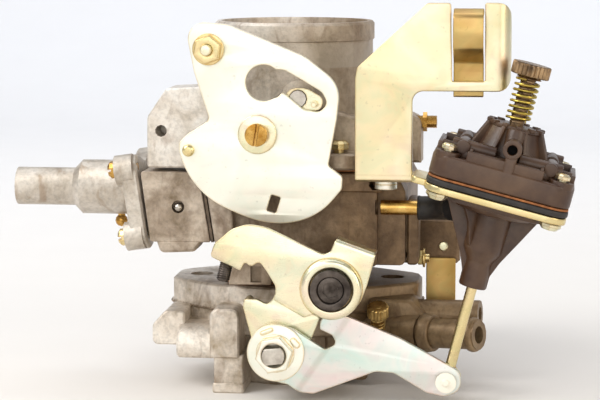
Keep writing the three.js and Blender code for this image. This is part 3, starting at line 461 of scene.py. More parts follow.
def passivated_zinc(name, tones, roughness=0.26, tint=0.5, rim="#B8924A", last=0.7):
    """Bright zinc plate with yellow chromate passivation on pressed steel: a satin metal whose thin film
    drifts between straw, pink and green over a few centimetres, with faint rolling marks and pin spots.
    Along edges and creases the colour turns to `rim`: partly the film's deeper gold there, partly painted
    shade and reflection that darken the folds. The tones lie evenly on the clouds' range from 0.3 to `last`."""
    m, tree, shader = blank_material(name, 1.0, roughness)
    at = node(tree, "TexCoord", "Object")
    cloud = node(tree, "TexNoise", Vector=at, Scale=cells(30), Detail=3, Roughness=0.5, Distortion=0.8)
    steps = np.linspace(0.3, last, len(tones)).tolist()
    base = node(tree, "ValToRGB", stops=list(zip(steps, tones)), Fac=cloud)
    drift = node(tree, "TexNoise", Vector=at, Scale=cells(13), Detail=2, Roughness=0.5, Distortion=1.2)
    film = node(tree, "ValToRGB", Fac=drift,
                stops=[(0.3, "#F3D9C4"), (0.45, "#FFF6D8"), (0.58, "#E4EFD2"), (0.72, "#F0E2C0")])
    base = node(tree, "Mix", 2, DARKEN, _0=tint, _6=base, _7=film)
    spots = node(tree, "TexNoise", Vector=at, Scale=cells(1.6), Detail=2, Roughness=0.5)
    spots = node(tree, "ValToRGB", stops=[(0.66, 1.0), (0.74, 0.72)], Fac=spots)
    base = node(tree, "Mix", 2, DARKEN, _0=0.5, _6=base, _7=spots)
    # partly painted shade and reflection, partly the film's real deeper gold: edges and creases mixed towards
    # `rim`
    share = node(tree, "Math", 0, TIMES, _0=near_edge(tree, 0.9), _1=0.75)
    base = node(tree, "Mix", 2, BLEND, _0=share, _6=base, _7=linear(rim))
    tree.links.new(base, shader.inputs["Base Color"])
    marks = node(tree, "Mapping", Vector=at, Scale=(0.25, 1.0, 2.4))
    grain = node(tree, "TexNoise", Vector=marks, Scale=cells(1.1), Detail=3, Roughness=0.7)
    gloss = node(tree, "MapRange", Value=grain, To_Min=roughness - 0.07, To_Max=roughness + 0.14)
    tree.links.new(gloss, shader.inputs["Roughness"])
    wave = node(tree, "TexNoise", Vector=at, Scale=cells(11), Detail=2, Roughness=0.4)
    wave = node(tree, "Bump", Height=wave, Distance=0.25 * MM, Strength=0.12)
    grain = node(tree, "Bump", Height=grain, Distance=0.02 * MM, Strength=0.25, Normal=wave)
    tree.links.new(grain, shader.inputs["Normal"])
    return m


def moulded_nylon(name, colour, edge, roughness=0.42):
    """Glass-filled nylon, injection moulded: brown-black with fine spark-eroded texture."""
    m, tree, shader = blank_material(name, 0.0, roughness, IOR=1.53)
    at = node(tree, "TexCoord", "Object")
    cloud = node(tree, "TexNoise", Vector=at, Scale=cells(12), Detail=4, Roughness=0.6)
    base = node(tree, "ValToRGB", stops=[(0.35, colour), (0.7, edge)], Fac=cloud)
    tree.links.new(base, shader.inputs["Base Color"])
    fine = node(tree, "TexNoise", Vector=at, Scale=cells(0.7), Detail=2, Roughness=0.6)
    gloss = node(tree, "MapRange", Value=fine, To_Min=roughness - 0.08, To_Max=roughness + 0.12)
    tree.links.new(gloss, shader.inputs["Roughness"])
    skin = node(tree, "Bump", Height=fine, Distance=0.05 * MM, Strength=0.35)
    tree.links.new(skin, shader.inputs["Normal"])
    return m


def turned_metal(name, light, dark, roughness=0.24, grain_mm=0.5):
    """Turned or drawn metal: two close tones in soft clouds, fine tool marks in the roughness."""
    m, tree, shader = blank_material(name, 1.0, roughness)
    at = node(tree, "TexCoord", "Object")
    cloud = node(tree, "TexNoise", Vector=at, Scale=cells(5), Detail=4, Roughness=0.6)
    base = node(tree, "ValToRGB", stops=[(0.35, dark), (0.65, light)], Fac=cloud)
    tree.links.new(base, shader.inputs["Base Color"])
    fine = node(tree, "TexNoise", Vector=at, Scale=cells(grain_mm), Detail=2, Roughness=0.5)
    gloss = node(tree, "MapRange", Value=fine, To_Min=roughness - 0.06, To_Max=roughness + 0.14)
    tree.links.new(gloss, shader.inputs["Roughness"])
    marks = node(tree, "Bump", Height=fine, Distance=0.02 * MM, Strength=0.3)
    tree.links.new(marks, shader.inputs["Normal"])
    return m


def soft_black(name, colour, light, roughness):
    """Vulcanised rubber or fibre: matt with a slight bloom. Also the near-black painted shade that fills the
    unlit bore of the vacuum nipple.
    """
    m, tree, shader = blank_material(name, 0.0, roughness, IOR=1.5)
    at = node(tree, "TexCoord", "Object")
    bloom = node(tree, "TexNoise", Vector=at, Scale=cells(3), Detail=4, Roughness=0.6)
    base = node(tree, "ValToRGB", stops=[(0.35, colour), (0.7, light)], Fac=bloom)
    tree.links.new(base, shader.inputs["Base Color"])
    grain = node(tree, "TexNoise", Vector=at, Scale=cells(0.6), Detail=2, Roughness=0.6)
    grain = node(tree, "Bump", Height=grain, Distance=0.05 * MM, Strength=0.4)
    tree.links.new(grain, shader.inputs["Normal"])
    return m


MATERIALS = {}


def make_materials(looks):
    """All finishes, keyed by the piece families that use them."""
    cast, zinc = "Die-cast zinc alloy, ", "Yellow passivated zinc on steel, "
    MATERIALS.update({
        "cast_upper": die_casting(cast + "cover", "#EDE9E2", "#DBD3C8", "#B9AD9D", "#8A6F55", 0.4,
                                  (117.5, 127.2), 0.75),
        "cast_body": die_casting(cast + "float body", "#CBBDAC", "#A39381", "#77664F", "#5C432F", tan=0.95),
        "cast_base": die_casting(cast + "throttle body", "#F2EBE0", "#D9CEC0", "#A8977F", "#7A5E44", 0.4,
                                 None, 0.98, "#9A8566"),
        "cast_spigot": die_casting(cast + "spigot", "#DAD3C9", "#C4BBAE", "#A39686", "#8F7458", 0.36),
        "pale_zinc": passivated_zinc(zinc + "pale", ("#F3F3EA", "#FAFAF4", "#F5F5EC"), 0.42, 0.2, "#D9B76C"),
        "lever_zinc": passivated_zinc(zinc + "straw", ("#ECE5C8", "#F4F1E2", "#EFE9D0")),
        "arm_zinc": passivated_zinc(zinc + "iridescent", ("#E2EEEC", "#F2E8F0", "#DDEDF0", "#F0F2EC"),
                                    0.38, 0.4, last=0.75),
        "gold_zinc": passivated_zinc(zinc + "gold", ("#E6DAB4", "#F2EAD2", "#EADFBE"), 0.34, 0.4),
        "nut_zinc": passivated_zinc(zinc + "deep straw", ("#DCC68C", "#EBDBAE", "#E2CF9A"), 0.26, 0.3,
                                    "#B98A3E"),
        "clamp_zinc": passivated_zinc("Yellow passivated spring steel, dark gold",
                                      ("#B8955A", "#CFB27A", "#C2A066"), 0.34, 0.4),
        "spring_zinc": passivated_zinc("Yellow passivated spring wire", ("#B5A544", "#E6D98A"), 0.28, 0.3),
        "nylon_black": moulded_nylon("Glass-filled nylon, brown black", looks.plastic_dark, "#58402C", 0.36),
        "brass": turned_metal("Turned brass", "#DDB468", "#A97A35", 0.24),
        "old_brass": turned_metal("Tarnished brass", "#D8B878", "#8A6B3C", 0.28),
        "drawn_brass": turned_metal("Drawn brass", "#E3BE74", "#C79A50", 0.2, 2.0),
        "steel": turned_metal("Bright steel", "#D6D0C6", "#A8A096", 0.28),
        "dark_steel": turned_metal("Blackened steel", "#6A625C", "#3A3430", 0.38),
        "bronzed": turned_metal("Bronzed steel", "#AA8E6C", "#5E4E3F", 0.36),
        "rubber": soft_black("Black rubber", "#1E1B1A", "#2E2A28", 0.5),
        "fibre": soft_black("Gasket fibre", "#7A4A28", "#B0703C", 0.8),
        "paper": soft_black("Oiled gasket paper", "#4A3D32", "#6E5E4C", 0.7),
        "nylon_white": moulded_nylon("Natural nylon", "#EFEBDC", "#F6F3E8", 0.35),
        "float_black": moulded_nylon("Moulded float", "#23201E", "#2E2A28", 0.5),
        "deep": soft_black("Unlit bore", "#0E0B0A", "#161210", 0.9),
    })


# ---- objects ------------------------------------------------------------------------------------

def piece(name, shape, material, body, replaced=(), angle=32):
    """One closed mesh object in place, riding on a body."""
    points, faces = shape
    mesh = bpy.data.meshes.new(name)
    mesh.from_pydata((points * MM + BARREL).tolist(), [], faces)
    work = bmesh.new()
    work.from_mesh(mesh)
    bmesh.ops.remove_doubles(work, verts=work.verts, dist=2e-6)
    bmesh.ops.dissolve_degenerate(work, edges=work.edges, dist=1e-6)
    bmesh.ops.recalc_face_normals(work, faces=work.faces)
    work.to_mesh(mesh)
    work.free()
    return finished(name, mesh, material, body, replaced, angle)


def finished(name, mesh, material, body, replaced, angle):
    """Smooth shading with sharp edges by angle, material, body, and what the piece stands for."""
    mesh.shade_smooth()
    mesh.set_sharp_from_angle(angle=math.radians(angle))
    mesh.materials.clear()
    mesh.materials.append(MATERIALS[material])
    made = bpy.data.objects.new(name, mesh)
    bpy.context.scene.collection.objects.link(made)
    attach(made, body)
    if replaced:
        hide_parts(*replaced)
    return made


def body_of_node(name):
    """The body that a CAD node rides on."""
    return frame["nodes"][name]["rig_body"]


def casting(name, material, edge):
    """A copy of a CAD casting with merged points, whole flat faces and edges rounded by `edge` metres."""
    mesh = frame["nodes"][name].data.copy()
    work = bmesh.new()
    work.from_mesh(mesh)
    bmesh.ops.remove_doubles(work, verts=work.verts, dist=1e-5)
    bmesh.ops.dissolve_limit(work, angle_limit=math.radians(1.5), verts=work.verts, edges=work.edges)
    bmesh.ops.recalc_face_normals(work, faces=work.faces)
    work.to_mesh(mesh)
    work.free()
    made = finished(name + "_casting", mesh, material, body_of_node(name), [name], 40)
    rim = made.modifiers.new("rounded edges", "BEVEL")
    rim.width = edge
    rim.segments = 2
    rim.limit_method = "ANGLE"
    rim.angle_limit = math.radians(38)
    rim.harden_normals = True
    return made


def repaint(names, material):
    """A better material on CAD nodes whose shape is kept."""
    for name in names:
        slots = frame["nodes"][name].data.materials
        slots.clear()
        slots.append(MATERIALS[material])


# ---- piece builders -----------------------------------------------------------------------------

def cam_outline(finer=48):
    """Outline of the choke cam: cable lobe, shoulder, and a rim whose radius falls along its sweep."""
    start = [(-34.6, 135.4, 9), (-19, 134.4, 9), (9, 123, 12), (21.6, 113, 11), (20.4, 101, 6),
             (17.3, 84, 1.5), (22.6, 80, 1.8), (22.2, 75.6, 2)]
    deg = -42 - 116 * np.linspace(0, 1, finer)
    t = np.clip((deg + 115) / 70, 0, 1)
    r = 29.2 + 6.6 * t * t * (3 - 2 * t)
    a = np.radians(deg)
    rim = np.stack([CAM[0] + r * np.cos(a), CAM[1] + r * np.sin(a), 0 * a], 1)
    end = [(-36.7, 88.6, 2.5), (-36.7, 91.8, 2.5), (-33.4, 95, 2.5), (-25.4, 100, 2.5), (-27.4, 106, 6),
           (-31, 117, 8)]
    return rounded([*start, *[tuple(p) for p in rim], *end])


def cam_slot():
    """Kidney slot: a round end that runs into a narrowing curved tail."""
    a = np.radians(np.linspace(48, 292, 34))
    bulb = np.stack([-5.9 + 6.5 * np.cos(a), 113.5 + 6.5 * np.sin(a), 0 * a], 1)
    tail = [(-0.6, 108.6, 1.4), (0.8, 110.2, 1.2), (2.4, 109.0, 1.5), (8.6, 103.9, 3), (14.4, 103.2, 3.2),
            (17.2, 106.4, 3.4), (15, 110.4, 3.4), (7.6, 114.8, 5), (1.5, 118.2, 4)]
    return rounded([*[tuple(p) for p in bulb], *tail])


class CARB_OT_choke_cam(bpy.types.Operator):
    """Pressed choke cam plate with its cable stud, pivot screw and rivet"""
    bl_idname = "carb.choke_cam"
    bl_label = "Choke cam"

    def execute(self, context):
        hole = rounded([(-5, 67.6, 0.6), (-3.2, 73.4, 0.6), (0.2, 72.4, 0.6), (-1.6, 66.6, 0.6)])
        plate = face_plate([cam_outline(), cam_slot(), circle(3.0, *CAM), circle(2.2, *STUD), hole],
                           -45, -43, 0.3)
        rivet = turned([(0, 0), (1.3, 0), (2.2, 0.7), (2.2, 5), (0, 5)], 0.4,
                       (-33.2, -46.7, 89), (0, 1, 0), 32)
        piece("choke_cam_plate", plate, "pale_zinc", "choke_cam_set", ["choke_cam"])
        piece("choke_cam_rivet", rivet, "nut_zinc", "choke_cam_set", ())
        x, z = STUD
        on_stud = Matrix.Translation((x, 0, z)) @ FACE_ON
        stud = joined(rod(2.0, (x, -52.7, z), (x, -42.6, z), 32, 0.4),
                      disc(3.6, 2.3, (x, -42.6, z), (0, 1, 0), 32, 0.4))
        piece("cam_stud", stud, "lever_zinc", "choke_cam_set", ["cam_cable_stud"])
        nut = joined(sheet([circle(5.2, sides=6, phase=0.35), circle(2.05, sides=32)], 46.3, 50, 0.35, on_stud),
                     sheet([circle(5.7), circle(2.5)], 45.4, 46.5, 0.2, on_stud))
        piece("cam_stud_nut", nut, "nut_zinc", "choke_cam_set", ["cam_cable_nut"])
        washer = sheet([circle(7.0, *CAM), circle(3.0, *CAM)], 45.4, 46.5, 0.3)
        piece("cam_washer", washer, "lever_zinc", "carburettor", ["cam_pivot_washer"])
        head = slotted_head(4.1, 2.9, 0.95, 1.5, (CAM[0], -46.7, CAM[1]), (0, -1, 0), 1.42)
        shank = rod(2.2, (CAM[0], -46.8, CAM[1]), (CAM[0], -33, CAM[1]), 24, 0.2)
        piece("cam_screw", joined(head, shank), "brass", "carburettor", ["cam_pivot_screw"])
        return {"FINISHED"}


class CARB_OT_bracket(bpy.types.Operator):
    """Gold cable bracket, its folded foot and lip, and the curved cable clamp"""
    bl_idname = "carb.bracket"
    bl_label = "Cable bracket"

    def execute(self, context):
        face = [(27.4, 79.6, 0.4), (47.7, 79.6, 0.4), (47.6, 111.4, 4), (79.2, 111.4, 5), (89.4, 122, 8),
                (89.4, 132, 8), (79.2, 142.5, 5), (72.9, 142.5, 0.8), (73.1, 114.9, 0.6), (61.5, 114.9, 0.6),
                (61, 142.4, 1), (52.8, 142.4, 2.5), (28, 119.6, 3), (27.3, 115.5, 3)]
        front = folded(face_plate([rounded(face)], -50, -47.5, 0.35))
        # foot: the sheet turns backwards through a quarter circle
        turn = [(-49.8, 81.4), (-49.8, 79.9, 1.3), (-48.7, 78.9, 1), (-33, 78.9, 1), (-33, 81.3, 0.4),
                (-47.2, 81.3, 0.4)]
        foot = sheet([rounded(turn)], 27.5, 47.6, 0.3, SIDE_ON)
        piece("bracket", joined(front, foot), "gold_zinc", "carburettor", ["cable_bracket"])
        strap = [(-44, 139.6, 0.6), (-47.6, 140.6, 2.5), (-52.6, 138.4, 3), (-53.4, 132, 8), (-52.6, 126.6, 3),
                 (-47.2, 121.4, 2), (-46.9, 118, 2), (-46.9, 109.2, 0.7), (-45.5, 109.2, 0.7), (-45.5, 119, 2),
                 (-46.2, 122.6, 2), (-51, 127.4, 2), (-51.9, 132, 6), (-51.2, 137.4, 2), (-47.2, 138.8, 1),
                 (-44, 138, 0.6)]
        piece("clamp_strap", sheet([rounded(strap)], 61.9, 72.5, 0.35, SIDE_ON), "clamp_zinc", "carburettor",
              ["cable_clamp"])
        screw = joined(socket_head(4.0, 3.2, 2.2, (37.5, -38, 78.4), (0, 0, -1)),
                       rod(1.8, (37.5, -38, 78.3), (37.5, -38, 86.8), 24))
        piece("foot_screw", screw, "pale_zinc", "carburettor", ["bracket_screw"])
        return {"FINISHED"}


class CARB_OT_fast_idle(bpy.types.Operator):
    """Fast-idle lever with its drawn collar, pivot bolt and set screw"""
    bl_idname = "carb.fast_idle"
    bl_label = "Fast-idle lever"

    def execute(self, context):
        x, z = IDLE
        outline = [(-22.6, 54, 1), (-21.4, 57.6, 3.5), (-15.2, 63, 7), (-9.5, 64.8, 8), (-2.8, 63.8, 8),
                   (17.4, 54.4, 3), (19.8, 55.4, 1.5), (21.9, 60.2, 1.5), (36, 55.2, 1), (33, 44, 2),
                   (30, 36, 9), (20.3, 30.8, 10), (13.4, 33, 1.5), (10.4, 31.6, 1.2), (-0.7, 37.8, 1.2),
                   (0.4, 40.5, 0.8), (0.4, 43, 3), (-2.6, 48, 4), (-5.2, 51.6, 1.5), (-8.4, 49.6, 1.5),
                   (-10.4, 51.4, 0.8), (-12.2, 47.9, 0.8), (-22.6, 52.6, 1.2)]
        blade = face_plate([rounded(outline), circle(6.0, x, z)], -62, -60, 0.35)
        blade = rolled(blade, (-21.6, 55), (-0.42, -0.906), 2.7, right=-9.6)
        blade = rolled(blade, (0.5, 39.8), (-0.49, -0.87), 2.5, -3, 14.5, 42)
        blade = rolled(blade, (21.2, 58.4), (0.33, 0.94), 2.2, left=18)
        foot = [(-22.2, 54.4, 0.4), (-22.1, 52.9, 0.6), (-12.5, 48.5, 0.6), (-11.8, 50.2, 0.4)]
        foot = face_plate([rounded(foot)], -60.6, -51.5, 0.4)
        tab = [(21.4, 58.9, 0.3), (22.0, 60.0, 0.5), (35.9, 55.1, 0.5), (35.4, 53.8, 0.4)]
        tab = face_plate([rounded(tab)], -60.8, -53, 0.35)
        collar = turned([(7.6, 0), (9.9, 0), (10.9, 1.2), (10.9, 4.6), (7.6, 4.6)], 0.7,
                        (x, -64.6, z), (0, 1, 0), 72, 4)
        piece("idle_lever", joined(blade, foot, tab, collar), "lever_zinc", "fast_idle",
              ["fast_idle_lever"])
        bolt = joined(turned([(0, 1.6), (4.4, 1.6), (4.9, 0), (7.2, 0), (7.2, 3.2), (0, 3.2)], 0.35,
                             (x, -66.4, z), (0, 1, 0), 64),
                      rod(5.9, (x, -63.4, z), (x, -60.2, z), 40), rod(3.6, (x, -60.3, z), (x, -40, z), 32),
                      sheet([circle(4.5, sides=48), circle(2.9, sides=6, phase=0.3)], 64.9, 65.4, 0.1,
                            Matrix.Translation((x, 0, z)) @ FACE_ON))
        piece("idle_pivot_bolt", bolt, "dark_steel", "carburettor", ["fast_idle_bolt"])
        tip, top = Vector((-19.3, -56.3, 43.6)), Vector((-16.3, -56.3, 56))
        step = (top - tip).normalized()
        head = tip + (top - tip) * 1.02
        screw = joined(rod(2.0, tip, head, 24, 0.3),
                       helix(2.1, 0.3, tip + step * 0.4, tip + step * 12.2, 15, 20, 6),
                       disc(2.9, 2.4, head, step, 6, 0.35))
        piece("idle_set_screw", screw, "dark_steel", "idle_screw", ["fast_idle_screw"])
        return {"FINISHED"}


class CARB_OT_levers(bpy.types.Operator):
    """Throttle stop lever, positioner lever, washer, nut and spindle"""
    bl_idname = "carb.levers"
    bl_label = "Throttle levers"

    def execute(self, context):
        x, z = SHAFT
        on_shaft = Matrix.Translation((x, 0, z)) @ FACE_ON
        ear = [(-12.4, 33.4, 1), (-12.3, 36.6, 2), (-7.5, 36.6, 3), (-3.5, 34.6, 2), (-0.9, 38, 1),
               (4, 37.5, 1), (15.4, 30.3, 1), (12.4, 23, 3), (9.6, 13, 4), (5, 8.6, 6), (-5, 8.6, 6),
               (-9.9, 13, 5), (-9.6, 23, 3)]
        stop = joined(face_plate([rounded(ear), circle(4.2, x, z)], -53, -51, 0.3),
                      face_plate([rounded([(-12.4, 33.4, 0.8), (-12.3, 36.6, 1.2), (-9.6, 36.9, 1.2),
                                           (-9.6, 33.4, 0.8)])], -52.8, -45, 0.4))
        piece("stop_lever", stop, "lever_zinc", "throttle", ["throttle_stop_lever"])
        arm = [(4.2, 6.6, 2), (8.5, 3.6, 3), (13.3, 3.2, 3), (35.5, 11.8, 4), (42, 11.4, 3), (53.6, 4.6, 4),
               (60, 3.3, 4), (65.9, 5.5, 5), (65.7, 12.4, 5), (44.2, 24, 4), (24.6, 31.8, 4), (16, 31.4, 2.5),
               (15.6, 26.9, 1), (20.2, 24.8, 1.8), (21.4, 21.2, 1.8), (17.5, 19.6, 1.5), (9.6, 24.6, 2),
               (6, 27, 5), (-4, 27.8, 7), (-10, 22, 6), (-10, 13, 7), (-4.6, 8.6, 6)]
        blank = face_plate([rounded(arm), circle(4.2, x, z), circle(2.25, FOOT[0], FOOT[2])], -57, -55, 0.3)
        piece("positioner_arm_plate", joggled(blank), "arm_zinc", "positioner_arm",
              ["positioner_lever"])
        pin = joined(turned([(0, 0.5), (1.2, 0.5), (1.5, 0.9), (3.7, 0.9), (3.7, 1.7), (0, 1.7)], 0.25,
                            (FOOT[0], -58.9, FOOT[2]), (0, 1, 0), 40),
                     turned([(0, 0), (1.0, 0), (1.3, 0.6), (1.3, 1.5), (0, 1.5)], 0.2,
                            (FOOT[0], -58.9, FOOT[2]), (0, 1, 0), 28),
                     rod(2.0, (FOOT[0], -57.6, FOOT[2]), (FOOT[0], -55, FOOT[2]), 24),
                     rod(1.2, (FOOT[0], -55.2, FOOT[2]), (FOOT[0], -50.3, FOOT[2]), 20))
        piece("arm_pin", pin, "nylon_white", "positioner_arm", ["positioner_pin"])
        washer = joined(sheet([circle(10.3, x, z, 64), circle(4.25, x, z)], 57.5, 58.8, 0.3),
                        face_plate([rounded([(6.6, 24, 0.6), (9.0, 21.3, 0.6), (7.6, 20.2, 0.6),
                                             (5.2, 22.9, 0.6)])], -59.8, -58, 0.3),
                        face_plate([rounded([(-5.4, 25.6, 0.5), (-1.2, 27.4, 0.5), (-0.8, 26.4, 0.5),
                                             (-5, 24.6, 0.5)])], -59.4, -58, 0.3))   # bent locking tabs
        piece("spindle_washer", washer, "pale_zinc", "throttle", ["shaft_washer"])
        nut = sheet([circle(6.8, sides=6, phase=0.2), circle(4.25)], 59.4, 64.2, 0.55, on_shaft, 3)
        seat = sheet([circle(6.9, x, z), circle(4.25, x, z)], 59.0, 60.0, 0.3)
        piece("spindle_nut", joined(nut, seat), "pale_zinc", "throttle", ["shaft_nut"])
        # threaded end, flattened to 2.9 mm either side of the axis
        side = np.linspace(-1, 1, 12) * math.asin(2.9 / 4.0)
        arc = np.stack([4 * np.cos(side), 4 * np.sin(side)], 1)
        end = sheet([np.concatenate([arc, -arc])], 58.4, 66, 0.3, on_shaft @ Matrix.Rotation(0.12, 4, "Z"))
        shank = joined(rod(4.0, (x, -58.6, z), (x, -17.3, z), 40), rod(4.0, (x, 17.3, z), (x, 49, z), 40))
        halves = [sheet([half_round(4.0, 1.05, s)], -17.5, 17.5, 0.1, on_shaft) for s in (1, -1)]
        back = disc(6.6, 4, (x, 43.8, z), (0, 1, 0), 6, 0.4)
        piece("spindle", joined(end, shank, *halves, back), "steel", "throttle", ["throttle_shaft"])
        cable = [(-9, 9, 3), (9, 9, 3), (12, 24, 4), (17.5, 33, 3), (12, 38, 3), (-4, 30, 6), (-9, 26, 4)]
        cable = face_plate([rounded(cable), circle(4.2, x, z), circle(1.6, 12.6, 33)], 41, 43.5, 0.3)
        piece("rear_lever", cable, "pale_zinc", "throttle", ["cable_lever"])
        plate = disc(16.7, 1.5, (0, 0, z - 0.75), (0, 0, 1), 72, 0.2)
        screws = [joined(slotted_head(2.2, 1.6, 0.5, 0.8, (0, y, z + 4.3), (0, 0, 1)),
                         rod(1.2, (0, y, z - 4.4), (0, y, z + 4.5), 20)) for y in (-8, 8)]
        piece("butterfly", joined(plate, *screws), "brass", "throttle", ["throttle_plate"])
        spring = helix(7.2, 0.85, (x, -50.2, z), (x, -46.4, z), 2.6, 32, 10, 2.2)
        piece("spindle_spring", spring, "dark_steel", "carburettor", ["throttle_return_spring"])
        return {"FINISHED"}


class CARB_OT_castings(bpy.types.Operator):
    """The castings with rounded edges, their flash and beads, the strap and the idle mixture screw"""
    bl_idname = "carb.castings"
    bl_label = "Castings"

    def execute(self, context):
        sizes = context.scene.carb_sizes
        casting("throttle_body", "cast_base", sizes.cast_edge)
        casting("main_body", "cast_body", sizes.cast_edge)
        casting("air_horn_cover", "cast_upper", sizes.cast_edge)
        casting("side_housing", "cast_body", sizes.cast_edge)
        casting("spigot_cover", "cast_spigot", sizes.cast_edge)
        casting("pump_cover", "cast_upper", sizes.cast_edge)
        casting("booster_venturi", "cast_upper", 0.3 * MM)
        repaint(["cover_gasket", "insulator"], "fibre")
        repaint(["side_gasket"], "paper")
        repaint(["choke_lever"], "lever_zinc")
        repaint(["cover_screw", "spigot_screw_1"], "nut_zinc")
        repaint(["choke_shaft", "check_ball", "float_pin", "needle_valve", "idle_cutoff_valve"],
                "steel")
        repaint([f"positioner_screw_{i}" for i in (1, 2, 3, 4)], "lever_zinc")
        repaint(["choke_plate", "needle_seat", "fuel_nipple", "spigot_plug", "spigot_screw_2"], "brass")
        repaint(["float"], "float_black")
        pad = face_plate([rounded([(-29.3, 80.0, 0.4), (-25.3, 54.6, 0.5), (-24, 49, 1.5), (-18.5, 48.6, 0.5),
                                   (-18.5, 80.0, 0.4)])], -35.9, -29.6, 0.5)
        piece("body_front_pad", pad, "cast_body", "carburettor", ())
        # flash: a ragged bead of metal along the parting line of the flange
        line = rounded([(-46.5, -8.3, 9), (-26.2, -26.5, 12), (0, -31.5, 20), (28.2, -25.5, 12),
                        (48.5, -10.3, 9), (48.5, 12.3, 9), (24, 29.5, 14), (0, 33.5, 20), (-26, 29.5, 14),
                        (-46.5, 12.3, 9)])
        line = np.concatenate([line, line[:1]])
        run = np.concatenate([[0], np.cumsum(np.linalg.norm(np.diff(line, axis=0), axis=1))])
        t = np.arange(0, run[-1], 0.45)
        path = np.stack([np.interp(t, run, line[:, 0]), np.interp(t, run, line[:, 1]), 27.9 + 0 * t], 1)
        rough = np.sin(t * 2.1) * np.sin(t * 5.3 + 1) * 0.5 + np.sin(t * 9.7) * 0.3
        path[:, 2] += 0.22 * rough
        piece("flash_line", swept(path, 0.34 + 0.16 * np.abs(rough), 8), "cast_body", "carburettor",
              (), 60)
        along = Vector((23.5, -11.6, 1.7)).normalized()
        root = Vector((48, -28, 21.2))
        bead = [(4.6, 0), (5.9, 0), (6.3, 1.0), (6.3, 2.2), (5.6, 3.2), (4.6, 3.2)]
        collar = [(5.2, 0), (7.0, 0), (7.2, 1.2), (6.6, 4.6), (5.2, 4.6)]
        beads = joined(turned(bead, 0.5, root + along * 22.6, along, 48),
                       turned(collar, 0.6, root + along * 3.4, along, 48))
        piece("connector_beads", beads, "cast_base", "carburettor", ())
        strap = face_plate([rounded([(50.2, 27.4, 1), (61.2, 27.4, 1), (61.2, 45.6, 1), (50.2, 45.6, 1)])],
                           -5.2, -3.5, 0.3)
        bars = ((2.9, 47.6, 49.6, 6), (3.6, 49.5, 50.3, 32), (1.5, 45, 52, 20))     # hexagon, washer, stud
        nut = joined(*(rod(r, (x0, -13.5, 46.8), (x1, -13.5, 46.8), sides) for r, x0, x1, sides in bars))
        piece("strap", strap, "clamp_zinc", "carburettor", ["rear_strap"])
        piece("strap_nut", nut, "nut_zinc", "carburettor", ())
        plug = disc(1.75, 6, (56.5, -3.4, 49.7), (0, 1, 0), 28, 0.5)
        piece("lug_plug", plug, "lever_zinc", "carburettor", ())
        a, b = Vector((34.38, -32.3, 19.74)), Vector((34.87, -38.6, 32.23))
        step = (b - a).normalized()
        w = np.linspace(0, 2 * np.pi, 96, endpoint=False)
        rim = 4.0 - 0.45 * np.abs(np.cos(8 * w)) ** 3
        aim = Vector((0, 0, 1)).rotation_difference(step).to_matrix().to_4x4()
        knurl = carried(sheet([np.stack([rim * np.cos(w), rim * np.sin(w)], 1)], 0, 4.6, 0.6,
                              Matrix.Identity(4)), Matrix.Translation(b - step * 4.2) @ aim)
        mixture = joined(knurl, rod(1.7, a, b - step * 3.4, 24), rod(1.6, b - step * 0.2, b + step * 0.5, 24),
                         helix(2.35, 0.42, a + step * 3.2, b - step * 3.8, 4.5, 24, 8))
        piece("mixture_screw_knurled", mixture, "old_brass", "mixture_screw", ["idle_mixture_screw"])
        return {"FINISHED"}


